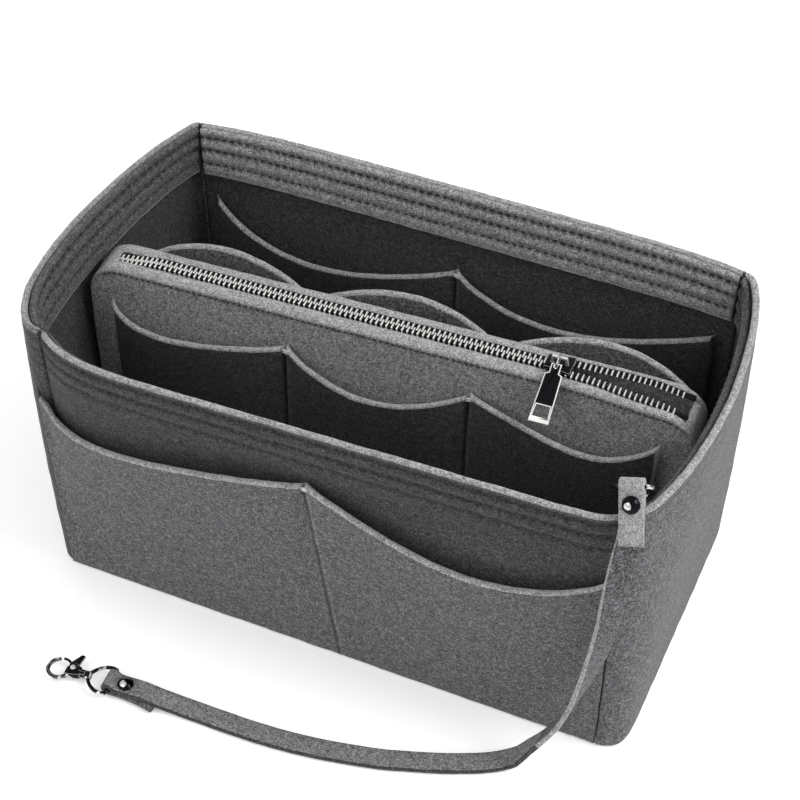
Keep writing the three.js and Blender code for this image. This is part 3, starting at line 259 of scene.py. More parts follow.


# A felt sheet with rounded cut edges. place gives a point from the shares along and up and a depth.
# The painted-shade function gives the shade painted into the cloth at the same shares and depth, and painted
# light where it is below 0. materials are the face, the cut edge and the back; ends and rims say which of
# them the sheet's ends, foot and top have.
def feltSheet(name, across, up, place, thickness, sizes, materials, body, nodes,
              wobble=0.25, paintedShade=None, ends=1, rims=(1, 1)):
    radius = thickness * 0.46
    length, height = sizes

    def rounded(shares, size):
        low, high = shares[0], shares[-1]
        turns = [math.radians(a) for a in (0, 30, 60, 90)]
        rim = [radius * (1 - math.sin(t)) for t in turns]
        dents = [radius * (1 - math.cos(t)) for t in turns]
        scale = (high - low) / size
        inner = [s for s in shares[1:-1] if low + 1.2 * radius * scale < s < high - 1.2 * radius * scale]
        stations = [(low + r * scale, d, 1) for r, d in zip(rim, dents)][::-1]
        stations += [(s, 0, 0) for s in inner]
        return stations + [(high - r * scale, d, 1) for r, d in zip(rim, dents)]

    columns = rounded(across, length)
    rows = rounded(up, height)
    points, paintedShades = [], []
    for side in (0, 1):
        for a, dentA, _ in columns:
            for u, dentU, _ in rows:
                dent = max(dentA, dentU)
                point = place(a, u, thickness - dent if side else dent)
                offset = noise.noise_vector(point / 9) * wobble  # slow waves, then small ones
                offset += noise.noise_vector(point / 2.3) * wobble * 0.4
                points.append(point + offset)
                paintedShades.append(paintedShade(a, u, thickness if side else 0) if paintedShade else 0)
    count = len(rows)
    block = len(columns) * count
    faces, slots = [], []
    for side in (0, 1):
        cloth = 2 if side and len(materials) > 2 else 0
        for i in range(len(columns) - 1):
            for j in range(count - 1):
                a = side * block + i * count + j
                face = (a, a + count, a + count + 1, a + 1)
                faces.append(face if side == 0 else face[::-1])
                end = columns[i][2] and columns[i + 1][2]
                edge = rows[j][2] and rows[j + 1][2]
                slots.append(ends if end else rims[j > count / 2] if edge else cloth)
    last = len(columns) - 1
    border = [(i, 0) for i in range(last + 1)] + [(last, j) for j in range(1, count)]
    border += [(i, count - 1) for i in range(last - 1, -1, -1)]
    border += [(0, j) for j in range(count - 2, 0, -1)]
    for (i, j), (k, l) in zip(border, border[1:] + border[:1]):
        a, b = i * count + j, k * count + l
        faces.append((a, a + block, b + block, b))
        slots.append(ends if i == k and i in (0, last) else rims[j > 0])
    piece = addMesh(name, points, faces, materials, slots, paintedShades)
    fixNormals(piece)
    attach(piece, body)
    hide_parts(*nodes)
    return piece


# Short round stitches along a line: points of the line, with the way out of the cloth at each.
def stitchRow(points, outs, pitch, length, radius):
    steps = [0.0]
    for a, b in zip(points, points[1:]):
        steps.append(steps[-1] + (b - a).length)

    def at(distance):
        distance = min(max(distance, 0), steps[-1])
        k = max(0, min(len(steps) - 2, int(np.searchsorted(steps, distance)) - 1))
        part = (distance - steps[k]) / max(steps[k + 1] - steps[k], 1e-6)
        return points[k].lerp(points[k + 1], part), outs[k].lerp(outs[k + 1], part)

    shapes = []
    count = int(steps[-1] / pitch)
    for k in range(count):
        middle = (k + 0.5) * pitch + random.uniform(-0.15, 0.15)
        ends = [at(middle + s * length / 2) for s in (-1, -0.5, 0.5, 1)]
        lifts = (-0.35, 0.12, 0.12, -0.35)
        spine = [p + n * (lift - radius * 0.2) for (p, n), lift in zip(ends, lifts)]
        shapes.append((spine, ends[1][1], radius))
    return shapes


def addStitches(name, shapes, material, body):
    points, faces = [], []
    sides = 6
    for spine, out, radius in shapes:
        start = len(points)
        along = (spine[-1] - spine[0]).normalized()
        side = along.cross(out).normalized()
        top = side.cross(along)
        for k, middle in enumerate(spine):
            r = radius * (0.55 if k in (0, len(spine) - 1) else 1)
            for s in range(sides):
                turn = 2 * math.pi * s / sides
                points.append(middle + side * (r * math.cos(turn)) + top * (r * math.sin(turn)))
        for k in range(len(spine) - 1):
            for s in range(sides):
                n = (s + 1) % sides
                a = start + k * sides
                faces.append((a + s, a + n, a + sides + n, a + sides + s))
        faces.append(tuple(start + s for s in reversed(range(sides))))
        faces.append(tuple(start + (len(spine) - 1) * sides + s for s in range(sides)))
    piece = addMesh(name, points, faces, [material])
    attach(piece, body)
    return piece


print("strap")
strap = {
    "width": 11.2,
    "thickness": 2.4,
    "corner": 0.75,
    "tab": 25.8,
    "fold": 2.7,
    "foldReach": 3,
    "layer": 2.75,
    "rivet": 7.7,
    "rivetRadius": 4.1,
    "lyingBelow": 26,
    "nearBar": Vector((146.5, -80, 180)),
    "nearAlong": Vector((0.25, -0.574, -0.77)).normalized(),
    "nearAcross": Vector((0.96, 0.21, 0.19)),
    "farBar": Vector((-88.2, -149.8, 4.9)),
    "farAlong": Vector((1, 0.06, 0)).normalized(),
    "farAcross": Vector((-0.06, 1, 0)).normalized(),
    "slant": -3,
    "drop": 1.6,
    "route": [
        (150.4, -88.6, 164.4, 14, 8), (151, -92.7, 159, 15, 6), (150.6, -96.5, 151.8, 17, 2),
        (149.7, -99.6, 136.9, 21, -4), (149, -101.8, 123.2, 33, -5), (148.4, -103, 112.7, 40, -6),
        (147, -103.9, 101.4, 46, -7), (145.1, -104.3, 88.9, 52, -7), (142.9, -104.4, 78.5, 63, -6),
        (140.4, -104.6, 66.7, 72, -5),
        (137.8, -105, 56.3, 82, -6), (134.8, -106, 46.6, 87, -7), (131.4, -107.2, 37.2, 88, -8),
        (123.8, -109, 23, 90, -4), (119.2, -109.6, 15.5, 96, -2), (115.7, -110.1, 9.5, 103, 0),
        (112.6, -111, 5.2, 108, 2), (108.6, -112.2, 2.4, 115, -1), (104, -115, 1.5, 120, 0),
        (97.7, -118.7, 1.5, 118, 0), (91.1, -121.9, 1.5, 114, 0), (80.1, -126.7, 1.5, 111, 0),
        (66.4, -131.6, 1.5, 109, 0), (52.6, -136.2, 1.5, 106, 0), (38.1, -139.6, 1.5, 102, 0),
        (23.4, -142.6, 1.5, 100, 0), (8.3, -144.8, 1.5, 97, 0), (-7.4, -146.2, 1.5, 94, 0),
        (-23.6, -146.8, 1.5, 91, 0), (-42, -147, 1.5, 90, 0),
    ],
}


# a smooth centripetal curve through the points, with the values of each point carried along it
def smoothLine(points, values, cuts):
    padded = [points[0] * 2 - points[1]] + points + [points[-1] * 2 - points[-2]]
    line, carried = [], []
    for k in range(len(points) - 1):
        p0, p1, p2, p3 = padded[k : k + 4]
        knots = [0.0]
        for a, b in ((p0, p1), (p1, p2), (p2, p3)):
            knots.append(knots[-1] + max((b - a).length ** 0.5, 1e-4))
        t0, t1, t2, t3 = knots
        for c in range(cuts if k < len(points) - 2 else cuts + 1):
            t = mix(t1, t2, c / cuts)
            a1 = p0 * ((t1 - t) / (t1 - t0)) + p1 * ((t - t0) / (t1 - t0))
            a2 = p1 * ((t2 - t) / (t2 - t1)) + p2 * ((t - t1) / (t2 - t1))
            a3 = p2 * ((t3 - t) / (t3 - t2)) + p3 * ((t - t2) / (t3 - t2))
            b1 = a1 * ((t2 - t) / (t2 - t0)) + a2 * ((t - t0) / (t2 - t0))
            b2 = a2 * ((t3 - t) / (t3 - t1)) + a3 * ((t - t1) / (t3 - t1))
            line.append(b1 * ((t2 - t) / (t2 - t1)) + b2 * ((t - t1) / (t2 - t1)))
            carried.append([mix(u, v, c / cuts) for u, v in zip(values[k], values[k + 1])])
    return line, carried


def strapStations(s):
    across = (s["nearAcross"] - s["nearAlong"] * s["nearAcross"].dot(s["nearAlong"])).normalized()
    out = s["nearAlong"].cross(across).normalized()
    half = s["layer"] / 2
    start = s["foldReach"]

    def near(distance, off):
        return s["nearBar"] + s["nearAlong"] * distance + out * off

    def far(distance, off):
        return s["farBar"] + s["farAlong"] * distance + Vector((0, 0, off))

    head = [(near(d, half), across) for d in spaced(s["tab"], start, 8)]
    folds = [math.pi * (0.5 - k / 10) for k in range(11)]
    head += [(near(-s["fold"] * math.cos(t), s["fold"] * math.sin(t)), across) for t in folds]
    body = [(near(d, -half), across) for d in spaced(start, s["rivet"] + s["rivetRadius"], 3)]
    nearTurn = (math.degrees(math.atan2(across.y, across.x)), math.degrees(math.asin(across.z)))
    tail = -s["fold"]
    route = [body[-1][0]] + [Vector(r[:3]) for r in s["route"]]
    route.append(far(s["tab"], tail + s["layer"] - s["drop"]))
    angles = [nearTurn] + [r[3:] for r in s["route"]] + [(90, 0)]
    line, carried = smoothLine(route, angles, 4)
    for point, (turn, rise) in zip(line[1:], carried[1:]):
        turn, rise = math.radians(turn), math.radians(rise)
        wide = Vector((math.cos(turn) * math.cos(rise), math.sin(turn) * math.cos(rise), math.sin(rise)))
        body.append((point, wide))
    last = spaced((s["tab"] + s["rivet"]) / 2, start, 5)
    body += [(far(d, tail + s["layer"]), s["farAcross"]) for d in last]
    foot = [(far(-s["fold"] * math.cos(t), s["fold"] * math.sin(t)), s["farAcross"]) for t in folds]
    for d in spaced(start, s["tab"], 8):
        slant = s["slant"] * ((d - start) / (s["tab"] - start)) ** 2
        foot.append((far(d, tail) + s["farAcross"] * slant, s["farAcross"]))
    return head, body, foot, near, far, out


# A flat felt strip with rounded edges, through stations of a middle point and the way across it. It gives
# each face's station and side: 0 the top, 1 one edge, 2 the underside, 3 the other edge.
def stripShape(stations, width, thickness, corner, fuzz):
    halfWide, halfThick = width / 2, thickness / 2
    ring = []
    for sx, sy, first in ((1, 1, 0), (-1, 1, 90), (-1, -1, 180), (1, -1, 270)):
        for step in (0, 30, 60, 90):
            turn = math.radians(first + step)
            x = sx * (halfWide - corner) + corner * math.cos(turn)
            ring.append((x, sy * (halfThick - corner) + corner * math.sin(turn)))
    points, faces, slots = [], [], []
    sides = len(ring)
    for k, (middle, wide) in enumerate(stations):
        along = (stations[min(k + 1, len(stations) - 1)][0] - stations[max(k - 1, 0)][0]).normalized()
        wide = (wide - along * wide.dot(along)).normalized()
        thick = along.cross(wide)
        for x, y in ring:
            point = middle + wide * x + thick * y
            points.append(point + noise.noise_vector(point / 3) * fuzz)
    for k in range(len(stations) - 1):
        for a in range(sides):
            b = (a + 1) % sides
            faces.append((k * sides + a, k * sides + b, (k + 1) * sides + b, (k + 1) * sides + a))
            slots.append((k, {3: 0, 11: 2}.get(a, 1 if 4 <= a <= 10 else 3)))
    faces.append(tuple(range(sides)))
    faces.append(tuple((len(stations) - 1) * sides + a for a in reversed(range(sides))))
    return points, faces, slots


def addStrap(s):
    head, body, foot, near, far, out = strapStations(s)
    stations = head + body + foot
    points, faces, sides = stripShape(stations, s["width"], s["thickness"], s["corner"], 0.12)

    # painted light on the near tab's faces and on the faces lying on the floor, painted shade on the lying
    # edges; where it hangs, one edge keeps the pale edge felt and the other edge and the underside take the
    # face felt
    def feltOf(station, side):  # paler on the near tab, and pale with dark edges where it lies on the floor
        if station > len(head + body) + 1:
            return 0
        if station < len(head) + 2:
            return {0: 2, 3: 2}.get(side, side)
        lying = stations[station][0].z < s["lyingBelow"]
        return ({0: 3, 1: 4, 2: 3, 3: 4} if lying else {2: 0, 3: 0}).get(side, side)

    slots = [feltOf(station, side) for station, side in sides] + [0, 0]
    piece = addMesh("strapFelt", points, faces, [outerFelt, cutFelt, litTabFelt, litLyingFelt, shadedFelt], slots)
    fixNormals(piece)
    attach(piece, "tub")
    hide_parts("key_strap")
    path = [p * mm for p, _ in body]
    length = sum((b - a).length for a, b in zip(path, path[1:]))
    s["nearRivet"] = (near(s["rivet"], 0), out)
    s["farRivet"] = (far(s["rivet"], s["layer"] / 2 - s["fold"]), Vector((0, 0, 1)))
    return piece, path, length


strapPiece, strapPath, strapLength = addStrap(strap)
print("strap length", round(strapLength, 4))
tuple(strapPath[0])
[tuple(p) for p in strapPath]

print("tub")
tub = {
    "halfDepth": 85.5,
    "backRim": 171.6,
    "frontRim": 166,
    "felt": 3.5,
    "seamGap": 0.3,
    "layerGap": 0.5,
    "baseHalf": 158,
    "rimHalf": {1: 169, -1: 178},
    "rimPower": 1.7,
    "basePower": 16,
    "leftRim": (
        (-1, 0.26), (-0.93, 0.44), (-0.8, 0.63), (-0.65, 0.76), (-0.48, 0.81), (-0.3, 0.84), (-0.1, 0.83),
        (0.1, 0.78), (0.3, 0.7), (0.5, 0.6), (0.7, 0.46), (0.85, 0.3), (1, 0.14),
    ),
    "leftRimEnd": 40,
    "sideRim": 169,
    "frontHalf": 145,
    "backHalf": 147,
    "backLength": 295,
    "sideHalf": 95,
    "backBow": 4,
    "backLift": 0.25,
    "frontSeam": (144, 146),
    "backSeam": (146, 149),
    "frontRecess": 4,
    "bulge": (15, 6),
    "bulgePower": {1: 24, -1: 8},
    "band": 29,
    "bandDrop": 4.4,
    "sideBandHalf": 92,
    "frontBandGap": 0.9,
    "backBandGap": 2.4,
    "bandRows": (4.8, 12.6, 21),
    "rowDepths": (1, 1, 0.6),
    "rowWidth": 1.5,
    "rowShade": 1.1,
    "bandRidges": (8.8, 16.9, 24.6),
    "ridgeWidth": 3,
    "hem": 28.2,
    "hemWidth": 1.3,
    "groove": 1.9,
    "puff": 0.6,
    "stitchPitch": 4.3,
    "stitchLength": 2.7,
    "stitchRadius": 0.46,
    "outerStitchRadius": 0.48,
}
outerRow = {
    "seams": (-1.04, -0.016, 1), "tops": (130, 133.5, 127), "drops": (14, 20), "skews": (0.45, 1.2),
    "gapes": (7, 8), "lean": 0.07, "half": 145, "flat": (290, 122),
}
backRow = {
    "seams": (-1, 0, 1), "tops": (131, 124, 131), "drops": (22, 17), "skews": (0.72, 0.8), "gapes": (8, 8),
    "half": 139, "flat": (278, 110),
}
felt = tub["felt"]
seamEnd = tub["seamGap"]
bandStart = felt + tub["layerGap"]


def seamX(height, back):
    return mix(*tub["backSeam" if back else "frontSeam"], height)


def frontPoint(across, z, inset, endGap=seamEnd):
    height = z / tub["frontRim"]
    power = tub["bulgePower"][1 if across > 0 else -1]
    bulge = mix(*tub["bulge"], (across + 1) / 2) * max(1 - abs(across) ** power, 0)
    y = -(tub["halfDepth"] - tub["frontRecess"] * (1 - height) + height * bulge) + inset
    return Vector((across * (seamX(height, False) - endGap), y, z))


def backPoint(across, z, inset, half=0):
    bow = tub["backBow"] * (1 - across ** 6) * (z / tub["backRim"]) ** 3
    x = across * (half or seamX(z / tub["backRim"], True) - seamEnd)
    return Vector((x, tub["halfDepth"] - inset + bow, z + bow * tub["backLift"]))


# a side wall's line seen from above, at a height from 0 at its base to 1 at its rim
def sidePlan(hand, share, height):
    deep = math.sin(share * math.pi / 2)
    seam = mix(seamX(height, False), seamX(height, True), (deep + 1) / 2)
    reach = mix(tub["baseHalf"], tub["rimHalf"][hand], height) - seam
    if hand < 0:
        square = math.sqrt(max(1 - abs(deep) ** tub["basePower"], 0))
        nearby = np.interp([deep - 0.06, deep, deep + 0.06], *zip(*tub["leftRim"]))
        bowed = nearby.mean() * math.sqrt(max(1 - abs(deep) ** tub["leftRimEnd"], 0))
        return Vector((seam + reach * mix(square, bowed, height), tub["halfDepth"] * deep, 0))
    power = math.exp(mix(math.log(tub["basePower"]), math.log(tub["rimPower"]), height))
    return Vector((seam + reach * math.sqrt(max(1 - abs(deep) ** power, 0)), tub["halfDepth"] * deep, 0))


def rimHeightAt(y):
    return mix(tub["frontRim"], tub["backRim"], (y / tub["halfDepth"] + 1) / 2)


def sidePoint(hand, share, heightOf, inset):
    y = tub["halfDepth"] * math.sin(share * math.pi / 2)
    rim = rimHeightAt(y)
    z = heightOf(rim)
    height = z / rim
    along = sidePlan(hand, min(1, share + 1e-3), height) - sidePlan(hand, max(-1, share - 1e-3), height)
    along.normalize()
    plan = sidePlan(hand, share, height)
    return Vector((hand * (plan.x - along.y * inset), plan.y + along.x * inset, z))


# the sewn rows press grooves into the band, deeper at each stitch, and the felt puffs up between them
def rowsAt(below, along, wave, shift, width):
    lines = zip(tub["bandRows"], tub["rowDepths"])
    paintedShade = sum(weight * bell(below - row - shift, width) for row, weight in lines)
    return paintedShade * (0.75 + wave * math.cos(along * 2 * math.pi / tub["stitchPitch"]))


def groove(below, along):
    puff = sum(bell(below - ridge, tub["ridgeWidth"]) for ridge in tub["bandRidges"])
    return tub["groove"] * rowsAt(below, along, 0.25, 0, tub["rowWidth"]) - tub["puff"] * puff


# painted shade in the sewn grooves, darker at each stitch, and a paler line along the hem
def grooveShadeAt(below, along):
    return rowsAt(below, along, 0.4, 0.4, tub["rowShade"]) - 0.9 * bell(below - tub["hem"], tub["hemWidth"])


def nearFace(depth):  # how much of a groove is left at a depth: none from the middle of the felt on
    return max(0, 1 - depth / (felt / 2))


def wallRows(rim, coarse, fine):
    low = spaced(0, 1 - (tub["band"] + 2) / rim, coarse)
    return low[:-1] + spaced(low[-1], 1, fine)


def frontWall(a, u, depth):
    below = (1 - u) * tub["frontRim"]
    dent = 0.55 * groove(below, a * tub["frontHalf"]) * nearFace(depth)
    return frontPoint(a, u * tub["frontRim"], depth + dent)


def wallShade(below, along):
    return 0.5 * max(grooveShadeAt(below, along), 0)


def frontWallShade(a, u, depth):
    if depth:
        return 0
    below = (1 - u) * tub["frontRim"]
    # painted shade over the wall's upper part, from just under the rim, fading out below the pockets' tops
    shade = 0.78 * (smooth(below, 0.5, 3) - smooth(below, 34, 70))
    return wallShade(below, a * tub["frontHalf"]) + shade


def backWall(a, u, depth):
    return backPoint(a, u * tub["backRim"], depth)


def backWallShade(a, u, depth):
    return 0 if depth else wallShade((1 - u) * tub["backRim"], a * tub["backHalf"])


def sideWall(hand):
    return lambda a, u, depth: sidePoint(hand, a, lambda rim: rim * u, depth)


# painted shade on the left wall's inner face, and on its front end, which lies in the tuck's shade
def sideWallShade(hand):
    def paintedShade(a, u, depth):
        if depth:
            return 0.3 if hand < 0 else 0
        shade = 0.7 * smooth(-a, 0.78, 0.9) if hand < 0 else 0
        return wallShade((1 - u) * tub["sideRim"], a * tub["sideHalf"]) + shade
    return paintedShade


wallShares = spaced(-1, 1, 150)
# the walls' backs, their inner faces, take the shaded felt: painted shade
tubFelts = [outerFelt, cutFelt, shadedFelt]
feltSheet("frontWall", wallShares, wallRows(tub["frontRim"], 20, 44), frontWall, felt,
          (2 * tub["frontHalf"], tub["frontRim"]), tubFelts, "tub", ["front_wall"], 0.25, frontWallShade, 0)
feltSheet("backWall", wallShares, wallRows(tub["backRim"], 20, 44), backWall, felt,
          (tub["backLength"], tub["backRim"]), tubFelts, "tub", ["back_wall"], 0.25, backWallShade, 2)
for hand, name, node in ((1, "rightWall", "right_wall"), (-1, "leftWall", "left_wall")):
    feltSheet(name, spaced(-1, 1, 90), wallRows(tub["sideRim"], 24, 40), sideWall(hand), felt,
              (2 * tub["sideHalf"], tub["sideRim"]), tubFelts, "tub", [node], 0.25, sideWallShade(hand), 0)

cornerSeam = {"side": 0.988, "face": 0.993, "top": 0.985, "inset": 1.1, "thickness": 0.6, "flat": (4, 165)}


# a strip of felt caught in each corner seam closes it against the light
def seamStrip(hand, rear):
    facePoint = backPoint if rear else frontPoint
    share = cornerSeam["side"] if rear else -cornerSeam["side"]

    def place(a, u, depth):
        inset = cornerSeam["inset"] + depth
        side = sidePoint(hand, share, lambda rim: rim * u * cornerSeam["top"], inset)  # up to below the rim
        return side.lerp(facePoint(hand * cornerSeam["face"], side.z, inset), (a + 1) / 2)
    return place


for hand, rear, name in (
    (1, True, "rightRearSeam"), (-1, True, "leftRearSeam"),
    (1, False, "rightFrontSeam"), (-1, False, "leftFrontSeam"),
):
    feltSheet(name, spaced(-1, 1, 3), spaced(0, 1, 40), seamStrip(hand, rear), cornerSeam["thickness"],
              cornerSeam["flat"], [shadedFelt] * 3, "tub", [], 0)


# the front and right bands are sewn a little below the rim, behind it
def frontBand(a, u, depth):
    below = mix(tub["band"], tub["bandDrop"], u)
    dent = groove(below, a * tub["frontHalf"]) * nearFace(felt - depth)
    return frontPoint(a, tub["frontRim"] - below, bandStart + depth - dent, tub["frontBandGap"])


def backBand(a, u, depth):
    below = tub["band"] * (1 - u)
    z = tub["backRim"] - below
    dent = groove(below, a * tub["backHalf"]) * nearFace(felt - depth)
    half = seamX(z / tub["backRim"], True) - tub["backBandGap"]
    return backPoint(a, z, bandStart + depth - dent, half)


def sideBand(hand):
    def place(a, u, depth):
        drop = tub["bandDrop"] * (1 - smooth(a, 0.55, 1)) if hand > 0 else 0
        below = mix(tub["band"], drop, u)
        dent = groove(below, a * tub["sideBandHalf"]) * nearFace(felt - depth)
        return sidePoint(hand, a, lambda rim: rim - below, bandStart + depth - dent)
    return place


def bandShade(half):
    return lambda a, u, depth: grooveShadeAt(tub["band"] * (1 - u), a * half) if depth else 0


sideShares = [s * (1 - seamEnd / tub["halfDepth"]) for s in spaced(-1, 1, 130)]
# the back band takes the lit band felt and the others the shaded one: painted light and shade
for name, node, shares, place, half, cloth in (
    ("frontBand", "hem_band_front", spaced(-1, 1, 220), frontBand, tub["frontHalf"], sideFelt),
    ("backBand", "hem_band_back", spaced(-1, 1, 240), backBand, tub["backHalf"], litBandFelt),
    ("rightBand", "hem_band_right", sideShares, sideBand(1), tub["sideBandHalf"], sideFelt),
    ("leftBand", "hem_band_left", sideShares, sideBand(-1), tub["sideBandHalf"], sideFelt),
):
    feltSheet(name, shares, spaced(0, 1, 44), place, felt, (2 * half, tub["band"]), [cloth, cutFelt], "tub",
              [node], 0.25, bandShade(half), 0, (1, 0))


# the rows of stitches in the front wall's face and in the four bands, with the way out of the cloth
def bandStitches():
    seen, hidden = tub["outerStitchRadius"], tub["stitchRadius"]
    shapes = []
    for row in tub["bandRows"]:
        level = 1 - row / tub["band"]
        for place, u, depth, end, count, out, radius in (
            (frontWall, 1 - row / tub["frontRim"], 0, 0.985, 90, (0, -1, 0), seen),
            (frontBand, level, felt, 0.985, 60, (0, 1, 0), hidden),
            (backBand, level, felt, 0.985, 60, (0, -1, 0), hidden),
            (sideBand(1), level, felt, 0.97, 80, (-1, 0, 0), hidden),
            (sideBand(-1), level, felt, 0.97, 80, (1, 0, 0), hidden),
        ):
            line = [place(a, u, depth) for a in spaced(-end, end, count)]
            outs = [Vector(out)] * len(line)
            shapes += stitchRow(line, outs, tub["stitchPitch"], tub["stitchLength"], radius)
    return shapes


addStitches("bandStitches", bandStitches(), darkThread, "tub")


def bottomPanel():
    inset = felt - 1  # its edge is caught in the walls' seam
    front = -(tub["halfDepth"] - tub["frontRecess"] - inset)
    right = [sidePoint(1, s, lambda rim: 0, inset) for s in spaced(-1, 1, 20)]
    left = [sidePoint(-1, s, lambda rim: 0, inset) for s in spaced(1, -1, 20)]
    outline = [Vector((p.x, max(p.y, front), 0)) for p in right + left]
    count = len(outline)
    points = outline + [p + Vector((0, 0, felt)) for p in outline]
    faces = [tuple(range(count))[::-1], tuple(range(count, 2 * count))]
    faces += [(k, (k + 1) % count, count + (k + 1) % count, count + k) for k in range(count)]
    piece = addMesh("bottomPanel", points, faces, [shadedFelt])
    piece.data.polygons.foreach_set("use_smooth", [False] * len(piece.data.polygons))
    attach(piece, "tub")
    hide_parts("bottom_panel")


bottomPanel()


# where a row of pockets has its top edge, and how far it gapes
def pocketEdge(row, along):
    seams = row["seams"]
    k = 0
    while k < len(row["drops"]) - 1 and along > seams[k + 1]:
        k += 1
    part = min(max((along - seams[k]) / (seams[k + 1] - seams[k]), 0), 1)
    level = mix(row["tops"][k], row["tops"][k + 1], part)
    top = level - row["drops"][k] * max(math.sin(math.pi * part ** row["skews"][k]), 0)
    return top, row["gapes"][k] * math.sqrt(max(math.sin(math.pi * part), 0))


def pocketShares(row, count):
    shares = [row["seams"][0]]
    for low, high in zip(row["seams"], row["seams"][1:]):
        shares += [mix(low, high, (1 - math.cos(math.pi * k / count)) / 2) for k in range(1, count + 1)]
    if "lean" in row:
        shares += spaced(row["seams"][1] - 0.02, row["seams"][1] + row["lean"] + 0.02, 24)
        shares = sorted(shares)
        shares = [shares[0]] + [b for a, b in zip(shares, shares[1:]) if b - a > 0.0015]
    return shares


def pocketPlace(row, foot, wallAt):
    def place(a, u, depth):
        top, gape = pocketEdge(row, a)
        return wallAt(a, mix(foot, top, u), tub["layerGap"] + felt - depth + gape * u * u)
    return place


# the seam between two pockets: painted shade in the seam, beside a painted pale line for the cut edge of the
# panel that laps over it
def seamShade(row):
    def paintedShade(a, u, depth):
        if depth:
            return 0
        total = 0
        for seam in row["seams"][1:-1]:
            x = (a - seam - row.get("lean", 0) * (1 - u)) * row["half"]
            total += 1.1 * bell(x + 0.7, 0.9) - 0.7 * bell(x - 1.2, 0.8)
        return total
    return paintedShade


def pocketPanel(name, node, row, place, counts, cloth, body, ends):
    feltSheet(name, pocketShares(row, counts[0]), spaced(0, 1, counts[1]), place, felt, row["flat"],
              [cloth, cutFelt], body, [node], 0.25, seamShade(row), ends)


frontPockets = pocketPlace(outerRow, 0, lambda a, z, out: frontPoint(a, z, -out))
backPockets = pocketPlace(
    backRow, felt + seamEnd, lambda a, z, out: backPoint(a, z, felt + out, backRow["half"]))
pocketPanel("frontPocketPanel", "front_pocket_panel", outerRow, frontPockets, (60, 40), outerFelt, "tub", 0)
pocketPanel("backPocketPanel", "back_pocket_panel", backRow, backPockets, (60, 40), shadedFelt, "tub", 0)

print("pouch")
pouch = {
    "place": Vector((0.8, 1.5, 0)),
    "turn": math.radians(2.97),
    "top": 151.5,
    "foot": 3.8,
    "half": {1: 154, -1: 162.5},
    "baseHalf": {1: 149, -1: 149.5},
    "taperPower": {1: 1, -1: 2.5},
    "halfWidth": 10.75,
    "baseHalfWidth": 20,
    "flare": 3.9,
    "flareRun": 58,
    "draw": 0.8,
    "drawRun": 44,
    "corner": 18,
    "gap": 0.3,
    "gussetDrop": {1: 6, -1: 1.6},
    "flat": (316, 148),
    "gussetFlat": (28, 144),
    "stitchDrop": 2.5,
    "stitchPitch": 3.1,
    "stitchLength": 1.8,
    "stitchRadius": 0.62,
    "serration": 3.9,
    "sliderX": 82,
}
pouchFrontRow = {
    "seams": (-0.9116, -0.3241, 0.28, 0.9), "tops": (136, 134, 134, 136), "drops": (11.5, 14.5, 13),
    "skews": (0.5, 0.9, 1.6), "gapes": (7.5, 8, 8), "half": 155, "flat": (290, 125),
}
pouchRearRow = {
    "seams": (-0.9003, -0.327, 0.3, 0.96), "tops": (136, 137, 137, 136), "drops": (-10, -9, -10),
    "skews": (0.75, 1, 1.15), "gapes": (16, 16, 17), "half": 155, "flat": (296, 140),
}
turned = Matrix.Rotation(pouch["turn"], 3, "Z")


def fromPouch(point):
    return turned @ point + pouch["place"]


def pouchHalfWidthAt(hand, x, z):
    up = (z - pouch["foot"]) / (pouch["top"] - pouch["foot"])
    spread = pouch["flare"] * smooth(x, pouch["sliderX"], pouch["sliderX"] + pouch["flareRun"])
    draw = pouch["draw"] * smooth(x, pouch["half"][1] - pouch["drawRun"], pouch["half"][1])
    return mix(pouch["baseHalfWidth"], pouch["halfWidth"] + (spread if hand < 0 else -draw), up)


def pouchHalfLengthAt(end, z):
    up = min(max((z - pouch["foot"]) / (pouch["top"] - pouch["foot"]), 0), 1)
    return mix(pouch["baseHalf"][end], pouch["half"][end], 1 - (1 - up) ** pouch["taperPower"][end])


def pouchPoint(hand, along, z, outset):
    x = along * pouchHalfLengthAt(-1 if along < 0 else 1, z)
    return Vector((x, hand * (pouchHalfWidthAt(hand, x, z) + outset), z))


def pouchTopAt(along):
    half = pouch["half"][-1 if along < 0 else 1]
    past = abs(along) * half - (half - pouch["corner"])
    if past <= 0:
        return pouch["top"]
    return pouch["top"] - pouch["corner"] + math.sqrt(max(pouch["corner"] ** 2 - past ** 2, 0))


def pouchShares(count):
    return [math.sin((k / count - 0.5) * math.pi) for k in range(count + 1)]


teeth = {
    "pitch": 2.69, "width": 1.05, "tip": 0.75, "height": 2.4, "reach": 0.8, "half": 3.35, "bevel": 0.22,
    "tilt": 0.03, "start": -150, "end": 145, "wedge": 2.5, "fanRun": 34, "slack": 0.5, "dip": 3.5,
    "tape": 0.8, "tapeFlat": (296, 4), "tapeLip": {1: 1.2, -1: -0.6}, "lip": {1: 1, -1: -0.7},
}
chainStart, chainEnd = teeth["start"], teeth["end"]
sliderTail = pouch["sliderX"] + 6.5


# How far a row of teeth stands from the middle: it is closed up to the slider, parted by its wedge, and
# fanned out behind it.
def rowShift(hand, x):
    first = teeth["wedge"] * smooth(x, pouch["sliderX"] - 1.8, sliderTail - 0.6)
    inside = pouchHalfWidthAt(hand, x, pouch["top"]) - felt - pouch["gap"]
    widest = inside - teeth["slack"] - teeth["half"]
    return mix(first, widest, smooth(x, sliderTail - 1.8, sliderTail + teeth["fanRun"]))


